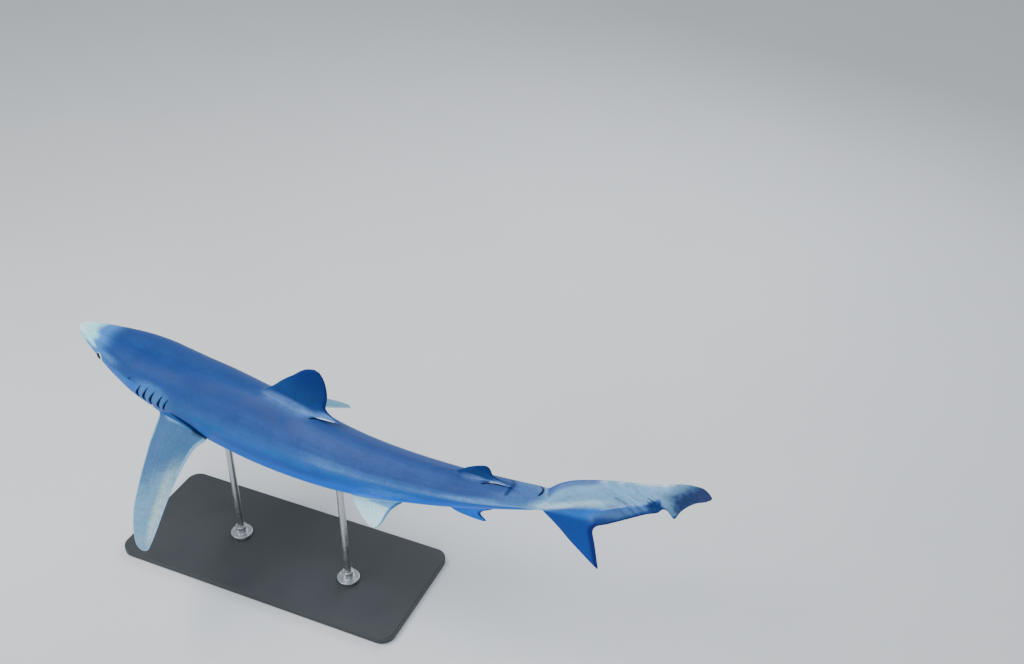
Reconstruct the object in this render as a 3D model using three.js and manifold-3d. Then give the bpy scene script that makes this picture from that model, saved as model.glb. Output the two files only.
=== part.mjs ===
import * as THREE from 'three';
import { mergeVertices } from 'three/addons/utils/BufferGeometryUtils.js';
import Module from 'manifold-3d';

// A life-size blue shark, swimming with its body bowed, held over the floor by a plain stand.
// Millimetres, +Z up. The head points to -X and the shark's left side faces -Y.
// The origin is the middle of the underside of the stand's base.

const wasm = await Module();
wasm.setup();

const gap = 0.3; // between pieces that touch

// The spine starts at the snout. Heading, pitch and roll are in degrees at distances along it.
const snoutTip = [-746, 81, 657.5];
const spineEnd = 2244;
const spineStep = 4;
const headingAt = [[0, 3], [418, 9], [836, 5], [1254, -8], [1683, -15], [1914, 4], [2244, 16]];
const pitchAt = [[0, -11], [350, -7.6], [836, -4.4], [1672, -2], [2244, -1]];
const rollAt = [[0, 0], [836, -8], [1254, -3], [1500, 3], [1660, 4], [1914, -8], [2244, -10]];

// Body sections: distance from the snout, half width, height above the spine and depth below it.
const bodySections = [
  [0, 0, 0, 0],
  [20, 26, 16, 9],
  [44, 38, 23, 14],
  [99, 60, 34, 25],
  [154, 79, 46, 39],
  [242, 103, 62, 60],
  [330, 116, 73, 85],
  [440, 117, 89.5, 105],
  [594, 112.5, 113.5, 115.5],
  [770, 105.5, 123, 119],
  [924, 97, 110, 113],
  [1100, 83, 86, 102],
  [1276, 69, 65.5, 81.5],
  [1430, 55, 52, 63.5],
  [1540, 44, 46, 46.5],
  [1620, 37, 39.5, 37],
  [1661, 34, 37, 36],
];
// How square each section is: 1 is an ellipse, less is flatter, more is peaked.
const topShapeAt = [[0, 1], [330, 0.95], [600, 1], [770, 1.12], [950, 1.05], [1300, 1]];
const bellyShapeAt = [[0, 0.9], [120, 0.72], [330, 0.8], [600, 0.9], [1300, 1]];

// The tail fin carries on from the body. Its sections lean back below the body's depth.
const tailStart = 1600;
const tailLean = { slope: 0.45, below: 40 };
const tailTopAt = [[1600, 42], [1640, 38], [1652, 36], [1663, 34], [1677, 47.5], [1692, 62], [1708, 73],
  [1742, 87], [1799, 98], [1906, 120], [1977, 144], [2066, 181], [2098, 186], [2116, 180], [2128, 170]];
const tailBottomAt = [[1600, -39], [1646, -40], [1655, -60], [1671, -102], [1688, -150], [1708, -183],
  [1731, -209], [1750, -221], [1757, -192], [1768, -145], [1780, -91], [1798, -69], [1849, -43], [1904, -4],
  [1957, 35], [1985, 52], [1999, 70], [2006, 72], [2035, 54], [2049, 84], [2070, 114], [2093, 136],
  [2112, 148], [2128, 163]];
const tailAxisAt = [[1600, 0], [1650, 0], [1700, 20], [1800, 62], [1906, 90], [1977, 118], [2066, 152],
  [2128, 168]];
const tailCoreAt = [[1600, 41], [1640, 40], [1700, 66], [1800, 62], [1904, 46], [2128, 16]];
const tailHalfAt = [[1600, 38.5], [1650, 34], [1700, 25], [1800, 15], [1904, 10], [2000, 7], [2128, 2.5]];
const tailWebHalf = 3.2; // half the web's thickness beside the flesh
const tailEdgeHalf = 0.7;

// Median fins lie in the plane of the spine. Rows: height from the spine, front edge, rear edge.
const firstDorsal = {
  rows: [[30, 766, 925], [96, 746, 930], [104, 742, 936], [110, 743, 990], [115, 747, 1030], [122, 752, 1008],
    [132, 763, 990], [145, 778, 976], [160, 794, 977], [178, 811, 980], [211, 848, 976], [240, 882, 965],
    [254, 904, 956], [261.5, 926, 946]],
  thickness: 22,
  tipThickness: 5,
};
const secondDorsal = {
  rows: [[11, 1402, 1466], [38, 1394, 1472], [46, 1390, 1478], [49, 1391, 1530], [52, 1393, 1561],
    [57, 1397, 1538], [64, 1405, 1512], [72, 1417, 1505], [82, 1434, 1499], [91, 1454, 1496],
    [97, 1472, 1493], [99, 1480, 1490]],
  thickness: 13,
  tipThickness: 4,
  sway: { from: 1440, to: 1561, left: 18 }, // the rear tip hangs to the shark's left
};
const anal = {
  rows: [[-15, 1380, 1450], [-50, 1368, 1460], [-60, 1366, 1466], [-66, 1367, 1490], [-71, 1369, 1505],
    [-79, 1374, 1486], [-88, 1382, 1473], [-98, 1399, 1472], [-108, 1422, 1475], [-116, 1446, 1482],
    [-122, 1468, 1487], [-125.5, 1479, 1487]],
  thickness: 12,
  tipThickness: 4,
};

// Paired fins: root point (station, side, height), droop in degrees, and rows of span, front and rear edge.
const pectoral = {
  root: [430, 90, -70],
  frameAt: 520,
  droop: 18,
  rows: [[-50, 14, 92], [-14, 4, 98], [-4, 1, 166], [-1, 1, 182], [5, 3, 187], [13, 7.5, 192], [24, 12, 189],
    [36, 17, 187], [54, 25, 186], [91, 44, 197], [142, 74.5, 213], [194, 106.5, 231.5], [247, 141, 255],
    [297, 174.5, 279], [339, 210.5, 301], [369, 243, 315.5], [389, 270, 319], [399, 290, 316]],
  thickness: 26,
  tipThickness: 6,
};
const pelvic = {
  root: [1096, 36, -84],
  frameAt: 1150,
  droop: 35,
  rows: [[-45, 8, 84], [-24, 2, 100], [-14, 2, 118], [-11, 2, 153], [-4, 3, 148], [5, 3, 140], [15, 6, 134],
    [23, 13, 129], [37, 25.5, 125], [49, 40, 122], [60, 52, 119], [71, 66, 115.5], [78.5, 77, 112],
    [84, 88.5, 106]],
  thickness: 12,
  tipThickness: 4,
};
const finEdge = 1.2; // thickness of a rear edge
const finRingSteps = 5;

// Head details.
const eye = { station: 150, height: -4, radius: 15, proud: 3 };
const jaw = { front: 158, corner: 236, halfWidth: 78, back: 322, backHalfWidth: 64, top: -20 };
const gills = {
  stations: [350, 378, 407, 440, 464],
  top: 18,
  waist: -24, // where a slit is farthest forward
  bottom: -44,
  topBack: 19,
  bottomBack: 6,
  width: 4,
  depth: 7,
};

// Where the body is parted, as distances along the spine.
const partings = { gills: 334, chest: 500, middle: 770, rear: 1180, tail: 1628 };
const ringSpacing = 31;
const snoutRings = [1.5, 6, 14, 28];
const bodyColumns = 28;
const tailColumns = 20;
const lobeParting = { front: [1650, -45], rear: [1806, -92], blockSize: 300 }; // stations and heights

// The stand.
const base = { length: 1000, width: 420, thickness: 25, corner: 40, bevel: 3 };
const rod = { radius: 11, stations: [590, 1020], insideBody: 560 };
const collar = { radius: 36, height: 12, neckRadius: 18, neckHeight: 26 };
const roundSides = 20;

// A smooth curve through [place, value] knots that never overshoots them.
function curve(knots) {
  const n = knots.length;
  const slope = [];
  for (let i = 0; i < n - 1; i++) {
    slope.push((knots[i + 1][1] - knots[i][1]) / (knots[i + 1][0] - knots[i][0]));
  }
  const tangent = knots.map((_, i) => {
    if (i === 0) return slope[0];
    if (i === n - 1) return slope[n - 2];
    const a = slope[i - 1];
    const b = slope[i];
    return a * b <= 0 ? 0 : (2 * a * b) / (a + b);
  });
  return (x) => {
    let i = 0;
    while (i < n - 2 && x > knots[i + 1][0]) i++;
    const h = knots[i + 1][0] - knots[i][0];
    const t = THREE.MathUtils.clamp((x - knots[i][0]) / h, 0, 1);
    const [p, q] = [knots[i][1], knots[i + 1][1]];
    const t2 = t * t;
    const t3 = t2 * t;
    return p * (2 * t3 - 3 * t2 + 1) + h * tangent[i] * (t3 - 2 * t2 + t) + q * (3 * t2 - 2 * t3)
      + h * tangent[i + 1] * (t3 - t2);
  };
}

// The spine's point and its tailward, leftward and upward directions, stepped along from the snout.
function makeSpine() {
  const [heading, pitch, roll] = [headingAt, pitchAt, rollAt].map(curve);
  const frames = [];
  const point = new THREE.Vector3(...snoutTip);
  let last = null;
  for (let s = 0; s <= spineEnd; s += spineStep) {
    const h = THREE.MathUtils.degToRad(heading(s));
    const p = THREE.MathUtils.degToRad(pitch(s));
    const r = THREE.MathUtils.degToRad(roll(s));
    const along = new THREE.Vector3(Math.cos(p) * Math.cos(h), -Math.cos(p) * Math.sin(h), Math.sin(p));
    const flat = new THREE.Vector3().crossVectors(along, new THREE.Vector3(0, 0, 1)).normalize();
    const rise = new THREE.Vector3().crossVectors(flat, along);
    const left = flat.clone().multiplyScalar(Math.cos(r)).addScaledVector(rise, -Math.sin(r));
    const up = rise.clone().multiplyScalar(Math.cos(r)).addScaledVector(flat, Math.sin(r));
    if (last) point.addScaledVector(last.clone().add(along), spineStep / 2);
    frames.push({ point: point.clone(), along, left, up });
    last = along;
  }
  return frames;
}
const spine = makeSpine();

function spineFrame(s) {
  const i = Math.min(Math.floor(s / spineStep), spine.length - 2);
  const t = s / spineStep - i;
  const mix = (key) => spine[i][key].clone().lerp(spine[i + 1][key], t);
  return { point: mix('point'), along: mix('along'), left: mix('left'), up: mix('up') };
}

// A point at a distance along the spine, to the shark's left and above the spine.
function place(s, left, up) {
  const f = spineFrame(s);
  return f.point.addScaledVector(f.left, left).addScaledVector(f.up, up);
}

// Body widths run over the square root of the distance, so that the snout is round.
const overRoot = (column) => curve(bodySections.map((row) => [Math.sqrt(row[0]), row[column]]));
const [widthOver, topOver, bottomOver] = [1, 2, 3].map(overRoot);
const topShape = curve(topShapeAt);
const bellyShape = curve(bellyShapeAt);
const signedPower = (value, power) => Math.sign(value) * Math.abs(value) ** power;

// The section's point at an angle from the shark's left, as [left, up].
function bodyPoint(s, angle, grow = 0) {
  const root = Math.sqrt(s);
  const c = Math.cos(angle);
  const n = Math.sin(angle);
  const shape = n > 0 ? topShape(s) : bellyShape(s);
  const height = (n > 0 ? topOver(root) : bottomOver(root)) + grow;
  return [(widthOver(root) + grow) * signedPower(c, shape), height * signedPower(n, Math.sqrt(shape))];
}

const [tailTop, tailBottom, tailAxis, tailCore, tailHalf] = [tailTopAt, tailBottomAt, tailAxisAt, tailCoreAt,
  tailHalfAt].map(curve);

// The tail's section is thick round its axis and thin in the web below.
function tailPoint(s, angle) {
  const n = Math.sin(angle);
  const axis = tailAxis(s);
  const reach = n > 0 ? tailTop(s) - axis : axis - tailBottom(s);
  const up = axis + reach * n;
  const core = n > 0 ? reach : Math.min(tailCore(s), reach);
  const flesh = Math.max(0, 1 - ((up - axis) / core) ** 2) ** (n > 0 ? 0.5 : 1.2);
  const web = tailEdgeHalf + (Math.min(tailWebHalf, tailHalf(s)) - tailEdgeHalf) * (1 - Math.abs(n));
  const fade = THREE.MathUtils.smoothstep(s, tailStart, tailStart + 60);
  const round = Math.abs(Math.cos(angle));
  const fin = Math.max(tailHalf(s) * flesh, web * (round > 1e-6 ? 1 : 0));
  const half = THREE.MathUtils.lerp(tailHalf(s) * round, fin, fade);
  return [Math.sign(Math.cos(angle)) * (round > 1e-6 ? half : 0), up];
}

function tailPlace(s, angle) {
  const [left, up] = tailPoint(s, angle);
  return place(s + tailLean.slope * Math.max(0, -up - tailLean.below), left, up);
}

// A closed solid from rings of points, each ring in the same order, with a fan at each end.
function solidFromRings(rings, { startPoint, endPoint } = {}) {
  const count = rings[0].length;
  const middle = (ring) => ring.reduce((sum, p) => sum.add(p), new THREE.Vector3()).divideScalar(count);
  const points = [startPoint ?? middle(rings[0]), ...rings.flat(), endPoint ?? middle(rings.at(-1))];
  const index = [];
  for (let k = 0; k < count; k++) {
    const next = (k + 1) % count;
    index.push(0, 1 + k, 1 + next);
    for (let r = 0; r < rings.length - 1; r++) {
      const a = 1 + r * count;
      const b = a + count;
      index.push(a + k, b + k, b + next, a + k, b + next, a + next);
    }
    const last = 1 + (rings.length - 1) * count;
    index.push(points.length - 1, last + next, last + k);
  }
  const geometry = new THREE.BufferGeometry();
  geometry.setAttribute('position', new THREE.Float32BufferAttribute(points.flatMap((p) => p.toArray()), 3));
  geometry.setIndex(index);
  return turnedOutward(geometry);
}

// Turns the faces round where the solid's signed volume comes out negative.
function turnedOutward(geometry) {
  const p = geometry.attributes.position;
  const index = geometry.index.array;
  const corner = [new THREE.Vector3(), new THREE.Vector3(), new THREE.Vector3()];
  let volume = 0;
  for (let i = 0; i < index.length; i += 3) {
    corner.forEach((c, k) => c.fromBufferAttribute(p, index[i + k]));
    volume += corner[0].dot(corner[1].clone().cross(corner[2]));
  }
  if (volume < 0) {
    for (let i = 0; i < index.length; i += 3) {
      const kept = index[i];
      index[i] = index[i + 1];
      index[i + 1] = kept;
    }
  }
  return geometry;
}

function toManifold(geometry) {
  const bare = geometry.clone();
  bare.deleteAttribute('normal');
  bare.deleteAttribute('uv');
  const merged = mergeVertices(bare, 1e-4);
  return new wasm.Manifold(new wasm.Mesh({
    numProp: 3,
    vertProperties: new Float32Array(merged.attributes.position.array),
    triVerts: new Uint32Array(merged.index.array),
  }));
}

function fromManifold(solid) {
  const mesh = solid.getMesh();
  const geometry = new THREE.BufferGeometry();
  geometry.setAttribute('position', new THREE.Float32BufferAttribute(mesh.vertProperties, 3));
  geometry.setIndex([...mesh.triVerts]);
  return geometry;
}

function steps(from, to) {
  const count = Math.max(1, Math.round((to - from) / ringSpacing));
  return Array.from({ length: count + 1 }, (_, i) => from + ((to - from) * i) / count);
}

const anglesRound = (count) => Array.from({ length: count }, (_, k) => (2 * Math.PI * k) / count);

function bodyRing(s, grow) {
  return anglesRound(bodyColumns).map((a) => place(s, ...bodyPoint(s, a, grow)));
}

// One length of the body, with round rings close together at the snout.
function bodyLength(from, to, grow = 0) {
  const stations = from > 0 ? steps(from, to) : [...snoutRings, ...steps(44, to)];
  const rings = stations.map((s) => bodyRing(s, grow));
  return solidFromRings(rings, from > 0 ? {} : { startPoint: place(0, 0, 0) });
}

// The space that fins, eyes and rods are trimmed to: the whole body, larger by the gap.
const clearance = toManifold(bodyLength(0, partings.tail - gap, gap));

// A fin's ring: a round front, the thickest part a third back, and a thin rear edge.
function finRing(front, rear, thickness, at) {
  const half = (c) => {
    const nose = c < 0.3 ? Math.sqrt(1 - (1 - c / 0.3) ** 2) : 1 - ((c - 0.3) / 0.7) ** 1.4;
    return Math.max((thickness / 2) * nose, c > 0.3 ? finEdge / 2 : 0);
  };
  const near = [];
  const far = [];
  for (let i = 1; i <= finRingSteps; i++) {
    const c = 1 - Math.cos((i / finRingSteps) * (Math.PI / 2));
    const chord = front + (rear - front) * Math.min(1, c);
    near.push(at(chord, half(c)));
    far.push(at(chord, -half(c)));
  }
  return [at(front, 0), ...near, ...far.reverse()];
}

function finSolid(fin, at) {
  const last = fin.rows.at(-1);
  const reach = Math.abs(last[0]);
  const rings = fin.rows.map(([span, front, rear]) => {
    const out = THREE.MathUtils.clamp(Math.abs(span) / reach, 0, 1);
    const thickness = THREE.MathUtils.lerp(fin.thickness, fin.tipThickness, out);
    return finRing(front, rear, thickness, (chord, side) => at(chord, side, span));
  });
  return toManifold(solidFromRings(rings)).subtract(clearance);
}

function medianFin(fin) {
  const { from, to, left } = fin.sway ?? { from: 0, to: 1, left: 0 };
  const sway = (s) => left * Math.max(0, (s - from) / (to - from)) ** 2;
  return finSolid(fin, (chord, side, span) => place(chord, side + sway(chord), span));
}

// A paired fin's plane runs along the body and droops away from it. side is 1 for the shark's left.
function pairedFin(fin, side) {
  const [s, out, up] = fin.root;
  const root = place(s, side * out, up);
  const f = spineFrame(fin.frameAt);
  const droop = THREE.MathUtils.degToRad(fin.droop);
  const outward = f.left.clone().multiplyScalar(side);
  const spanward = outward.clone().multiplyScalar(Math.cos(droop)).addScaledVector(f.up, -Math.sin(droop));
  const upward = f.up.clone().multiplyScalar(Math.cos(droop)).addScaledVector(outward, Math.sin(droop));
  return finSolid(fin, (chord, thick, span) => root.clone().addScaledVector(f.along, chord)
    .addScaledVector(spanward, span).addScaledVector(upward, thick));
}

// The tail fin as one solid, then parted along a line from the lower lobe's root to the fork.
function tailSolid() {
  const knots = [...tailTopAt, ...tailBottomAt].map(([s]) => s).filter((s) => s > partings.tail);
  const stations = [...new Set([partings.tail, ...knots])].sort((a, b) => a - b);
  const rings = stations.map((s) => anglesRound(tailColumns).map((a) => tailPlace(s, a)));
  return toManifold(solidFromRings(rings));
}

function lowerLobeBlock(grow) {
  const [frontAt, frontUp] = lobeParting.front;
  const [rearAt, rearUp] = lobeParting.rear;
  const rootFront = place(frontAt, 0, frontUp);
  const rootRear = place(rearAt, 0, rearUp);
  const f = spineFrame((frontAt + rearAt) / 2);
  const along = rootRear.clone().sub(rootFront).normalize();
  const side = f.left.clone().addScaledVector(along, -f.left.dot(along)).normalize();
  const down = new THREE.Vector3().crossVectors(along, side).normalize();
  if (down.dot(f.up) > 0) down.negate();
  const size = lobeParting.blockSize;
  const block = new THREE.BoxGeometry(size, size, size);
  const middle = rootFront.clone().addScaledVector(along, size / 2 - grow).addScaledVector(down, size / 2 - grow);
  const turn = new THREE.Matrix4().makeBasis(along, new THREE.Vector3().crossVectors(down, along), down);
  return toManifold(block.applyMatrix4(turn.setPosition(middle)));
}

// Eyeballs sit in the head with a little of the ball proud of the skin.
function eyeCentre(side) {
  const [left] = bodyPoint(eye.station, 0);
  return place(eye.station, side * (left - eye.radius + eye.proud), eye.height);
}

function eyeBall(side, grow = 0) {
  const ball = new THREE.SphereGeometry(eye.radius + grow, 14, 8);
  const centre = eyeCentre(side);
  return ball.translate(centre.x, centre.y, centre.z);
}

// The space of the lower jaw: a parabola in front, narrowing a little behind the mouth's corners.
function jawBlock(grow) {
  const outline = new THREE.Shape();
  const length = jaw.corner - jaw.front;
  const half = jaw.halfWidth + grow;
  const count = 8;
  outline.moveTo(jaw.back + grow, -(jaw.backHalfWidth + grow));
  for (let i = -count; i <= count; i++) {
    const t = i / count;
    outline.lineTo(jaw.front - grow + length * t * t, half * t);
  }
  outline.lineTo(jaw.back + grow, jaw.backHalfWidth + grow);
  outline.closePath();
  const deep = 160;
  const block = new THREE.ExtrudeGeometry(outline, { depth: deep, bevelEnabled: false });
  block.translate(-jaw.corner, 0, jaw.top + grow - deep);
  const f = spineFrame(jaw.corner);
  const turn = new THREE.Matrix4().makeBasis(f.along, f.up.clone().cross(f.along), f.up);
  return toManifold(block.applyMatrix4(turn.setPosition(f.point)));
}

// A gill slit is a thin plate that follows the section's outline and cuts a few millimetres in.
function gillSlit(number, side) {
  const waist = gills.stations[number];
  const radius = (s, up) => {
    const depth = bottomOver(Math.sqrt(s));
    const shape = bellyShape(s);
    const n = Math.min(1, Math.abs(up) / depth) ** (1 / Math.sqrt(shape));
    return widthOver(Math.sqrt(s)) * Math.sqrt(1 - n * n) ** shape;
  };
  const rows = 3;
  const rings = [];
  for (let i = 0; i <= rows; i++) {
    const up = gills.bottom + ((gills.top - gills.bottom) * i) / rows;
    const above = Math.max(0, (up - gills.waist) / (gills.top - gills.waist));
    const below = Math.max(0, (gills.waist - up) / (gills.waist - gills.bottom));
    const s = waist + gills.topBack * above ** 1.25 + gills.bottomBack * below ** 1.5;
    const left = radius(s, Math.min(up, 0));
    const half = (gills.width / 2) * Math.max(0.4, Math.sin((Math.PI * (i + 0.6)) / (rows + 1.2)));
    const corners = [[-half, -gills.depth], [half, -gills.depth], [half, 5], [-half, 5]];
    rings.push(corners.map(([ds, out]) => place(s + ds, side * (left + out), up)));
  }
  return toManifold(solidFromRings(rings));
}

function boardSolid() {
  const [x, y] = [base.length / 2 - base.bevel, base.width / 2 - base.bevel];
  const r = base.corner;
  const outline = new THREE.Shape();
  outline.moveTo(-x + r, -y);
  outline.lineTo(x - r, -y);
  outline.absarc(x - r, -y + r, r, -Math.PI / 2, 0);
  outline.absarc(x - r, y - r, r, 0, Math.PI / 2);
  outline.absarc(-x + r, y - r, r, Math.PI / 2, Math.PI);
  outline.absarc(-x + r, -y + r, r, Math.PI, 1.5 * Math.PI);
  const board = new THREE.ExtrudeGeometry(outline, {
    depth: base.thickness - 2 * base.bevel,
    bevelEnabled: true,
    bevelSize: base.bevel,
    bevelThickness: base.bevel,
    bevelSegments: 1,
    curveSegments: 6,
  });
  return toManifold(board.translate(0, 0, base.bevel));
}

// Turned parts stand upright over a point of the base.
function turned(profile, x, y) {
  const lathe = new THREE.LatheGeometry(profile.map(([r, z]) => new THREE.Vector2(r, z)), roundSides);
  return toManifold(lathe.rotateX(Math.PI / 2).translate(x, y, 0));
}

function rodSolid(x, y) {
  const low = base.thickness + gap;
  const high = rod.insideBody;
  return turned([[0, low], [rod.radius, low], [rod.radius, high], [0, high]], x, y);
}

function collarSolid(x, y) {
  const low = base.thickness + gap;
  const bore = rod.radius + gap;
  const step = low + collar.height;
  const top = step + collar.neckHeight;
  return turned([[bore, low], [collar.radius, low], [collar.radius, step - 3], [collar.radius - 3, step],
    [collar.neckRadius, step], [collar.neckRadius, top - 1.5], [collar.neckRadius - 1.5, top], [bore, top],
    [bore, low]], x, y);
}

const group = new THREE.Group();

function add(name, solid, colour, roughness, metalness = 0) {
  const geometry = fromManifold(solid);
  geometry.computeVertexNormals();
  const material = new THREE.MeshStandardMaterial({ color: colour, roughness, metalness });
  const mesh = new THREE.Mesh(geometry, material);
  mesh.name = name;
  group.add(mesh);
}

const backBlue = '#4a69a0';
const finBlue = '#2f5b96';
const paleGrey = '#9fb4c4';
const skinRoughness = 0.5;

const sides = { left: 1, right: -1 };

function bodyPiece(from, to) {
  return toManifold(bodyLength(from, to - gap));
}

// The head, with the jaw parted off and the eye sockets cut in.
const foreBody = bodyPiece(0, partings.gills);
let head = foreBody.subtract(jawBlock(gap));
for (const side of Object.values(sides)) head = head.subtract(toManifold(eyeBall(side, gap)));
add('head', head, backBlue, skinRoughness);
add('lower_jaw', foreBody.intersect(jawBlock(0)), paleGrey, skinRoughness);
for (const [name, side] of Object.entries(sides)) {
  add(`eye_${name}`, toManifold(eyeBall(side)), '#0c0f14', 0.1);
}

let gillRegion = bodyPiece(partings.gills, partings.chest);
for (const side of Object.values(sides)) {
  for (let i = 0; i < gills.stations.length; i++) gillRegion = gillRegion.subtract(gillSlit(i, side));
}
add('gill_region', gillRegion, backBlue, skinRoughness);
add('trunk_front', bodyPiece(partings.chest, partings.middle), backBlue, skinRoughness);
add('trunk_rear', bodyPiece(partings.middle, partings.rear), backBlue, skinRoughness);
add('tail_stock', bodyPiece(partings.rear, partings.tail), backBlue, skinRoughness);

const wholeTail = tailSolid();
add('caudal_upper_lobe', wholeTail.subtract(lowerLobeBlock(gap)), paleGrey, skinRoughness);
add('caudal_lower_lobe', wholeTail.intersect(lowerLobeBlock(0)), finBlue, skinRoughness);

add('dorsal_fin_first', medianFin(firstDorsal), finBlue, skinRoughness);
add('dorsal_fin_second', medianFin(secondDorsal), finBlue, skinRoughness);
add('anal_fin', medianFin(anal), finBlue, skinRoughness);
for (const [name, side] of Object.entries(sides)) {
  add(`pectoral_fin_${name}`, pairedFin(pectoral, side), paleGrey, skinRoughness);
  add(`pelvic_fin_${name}`, pairedFin(pelvic, side), paleGrey, skinRoughness);
}

// The stand: a flat board, and two rods up to the belly, each in a collar.
add('stand_base', boardSolid(), '#2b2d30', 0.55);
['front', 'rear'].forEach((name, i) => {
  const { x, y } = place(rod.stations[i], 0, 0);
  add(`stand_rod_${name}`, rodSolid(x, y).subtract(clearance), '#b9bcc0', 0.3, 1);
  add(`stand_collar_${name}`, collarSolid(x, y), '#b9bcc0', 0.35, 1);
});

export default group;
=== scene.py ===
import math
import bpy
import bmesh
import numpy as np
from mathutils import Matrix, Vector


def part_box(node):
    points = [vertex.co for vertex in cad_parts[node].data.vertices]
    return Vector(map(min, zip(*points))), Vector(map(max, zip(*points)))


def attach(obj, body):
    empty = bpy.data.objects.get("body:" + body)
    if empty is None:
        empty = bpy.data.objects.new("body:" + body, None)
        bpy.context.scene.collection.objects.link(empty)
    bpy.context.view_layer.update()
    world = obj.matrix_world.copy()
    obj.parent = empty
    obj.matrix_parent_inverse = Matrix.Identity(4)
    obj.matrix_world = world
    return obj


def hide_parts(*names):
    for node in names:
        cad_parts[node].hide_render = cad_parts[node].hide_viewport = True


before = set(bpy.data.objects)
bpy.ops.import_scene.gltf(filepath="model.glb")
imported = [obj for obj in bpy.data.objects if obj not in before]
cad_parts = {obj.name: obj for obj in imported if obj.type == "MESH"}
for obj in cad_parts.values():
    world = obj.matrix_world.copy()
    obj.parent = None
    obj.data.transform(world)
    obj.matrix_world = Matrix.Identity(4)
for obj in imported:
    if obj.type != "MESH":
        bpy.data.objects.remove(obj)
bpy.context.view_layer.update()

# A life-size blue shark on its display stand. The CAD solids give every place and size.
# Shapes are worked out in millimetres and turned to metres where a mesh is made.
# The head points to -X, the shark's left side faces -Y, and the floor is at z = 0.
mm = 0.001
print("frame loaded:", len(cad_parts), "nodes")


# Helpers for curves, colours and meshes

def curve(knots):  # smooth, and never overshoots its knots
    x = np.array([k[0] for k in knots], float)
    y = np.array([k[1] for k in knots], float)
    slope = np.diff(y) / np.diff(x)
    tangent = np.zeros(len(x))
    tangent[0], tangent[-1] = slope[0], slope[-1]
    for i in range(1, len(x) - 1):
        a, b = slope[i - 1], slope[i]
        tangent[i] = 0 if a * b <= 0 else 2 * a * b / (a + b)

    def value(at):
        at = np.asarray(at, float)
        i = np.clip(np.searchsorted(x, at, side="left") - 1, 0, len(x) - 2)
        h = x[i + 1] - x[i]
        t = np.clip((at - x[i]) / h, 0, 1)
        t2, t3 = t * t, t * t * t
        return (y[i] * (2 * t3 - 3 * t2 + 1) + h * tangent[i] * (t3 - 2 * t2 + t)
                + y[i + 1] * (3 * t2 - 2 * t3) + h * tangent[i + 1] * (t3 - t2))
    return value


def ease(x, low, high):  # 0 at low, 1 at high, smooth between
    t = np.clip((np.asarray(x, float) - low) / (high - low), 0, 1)
    return t * t * (3 - 2 * t)


def fall(x, high, low):  # 1 at high, 0 at low, smooth between
    return 1 - ease(x, high, low)


def between(x, low, high, highEnd, lowEnd):  # rises from low to high, falls from highEnd to lowEnd
    return ease(x, low, high) * fall(x, highEnd, lowEnd)


def bump(x, middle, width):  # 1 at the middle, 0 beyond the width
    return ease(1 - np.abs(np.asarray(x, float) - middle) / width, 0, 1)


def mix(a, b, t):
    return a + (b - a) * t


def linear(code):  # sRGB hex to linear colour
    parts = [int(code[i:i + 2], 16) / 255 for i in (1, 3, 5)]
    return tuple(c / 12.92 if c <= 0.04045 else ((c + 0.055) / 1.055) ** 2.4 for c in parts) + (1.0,)


def newPiece(name, points, faces, values=None):  # points in millimetres
    mesh = bpy.data.meshes.new(name)
    mesh.from_pydata((np.asarray(points) * mm).tolist(), [], faces)
    for key, value in (values or {}).items():
        layer = mesh.attributes.new(key, "FLOAT", "POINT")
        layer.data.foreach_set("value", np.asarray(value, np.float32))
    work = bmesh.new()
    work.from_mesh(mesh)
    bmesh.ops.recalc_face_normals(work, faces=work.faces)
    work.to_mesh(mesh)
    work.free()
    mesh.polygons.foreach_set("use_smooth", [True] * len(mesh.polygons))
    piece = bpy.data.objects.new(name, mesh)
    bpy.context.scene.collection.objects.link(piece)
    return piece


def ringFaces(rings, closed=False):  # four-sided faces between rings of point numbers
    pairs = zip(rings, rings[1:] + rings[:1]) if closed else zip(rings, rings[1:])
    return [(a[k], a[(k + 1) % len(a)], b[(k + 1) % len(a)], b[k]) for a, b in pairs for k in range(len(a))]


def numbered(rings, steps, first=0):  # point numbers of rings that follow each other
    return [list(range(first + r * steps, first + (r + 1) * steps)) for r in range(rings)]


# The shark's spine

spineShape = {
    "snout": (-746, 81, 657.5),
    "end": 2244,
    "step": 4,
    "heading": [[0, 3], [418, 9], [836, 5], [1254, -8], [1683, -15], [1914, 4], [2244, 16]],
    "pitch": [[0, -11], [350, -7.6], [836, -4.4], [1672, -2], [2244, -1]],
    "roll": [[0, 0], [836, -8], [1254, -3], [1500, 3], [1660, 4], [1914, -8], [2244, -10]],
}


def makeSpine(shape):
    s = np.arange(0, shape["end"] + 1, shape["step"], dtype=float)
    heading, pitch, roll = [np.radians(curve(shape[k])(s)) for k in ("heading", "pitch", "roll")]
    along = np.stack([np.cos(pitch) * np.cos(heading), -np.cos(pitch) * np.sin(heading), np.sin(pitch)], 1)
    steps = (along[1:] + along[:-1]) / 2 * shape["step"]
    point = np.vstack([shape["snout"], np.array(shape["snout"]) + np.cumsum(steps, 0)])
    flat = np.cross(along, [0, 0, 1.0])
    flat /= np.linalg.norm(flat, axis=1)[:, None]
    rise = np.cross(flat, along)
    c, n = np.cos(roll)[:, None], np.sin(roll)[:, None]
    return {"point": point, "along": along, "left": c * flat - n * rise, "up": c * rise + n * flat}


spine = makeSpine(spineShape)


def spineFrame(s):
    at = np.clip(np.asarray(s, float) / spineShape["step"], 0, len(spine["point"]) - 1.001)
    i = at.astype(int)
    t = (at - i)[..., None]
    return [spine[k][i] * (1 - t) + spine[k][i + 1] * t for k in ("point", "along", "left", "up")]


def place(s, left, up):  # along the spine, to the shark's left and above the spine
    point, _, leftward, upward = spineFrame(s)
    return point + leftward * np.asarray(left)[..., None] + upward * np.asarray(up)[..., None]


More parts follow.
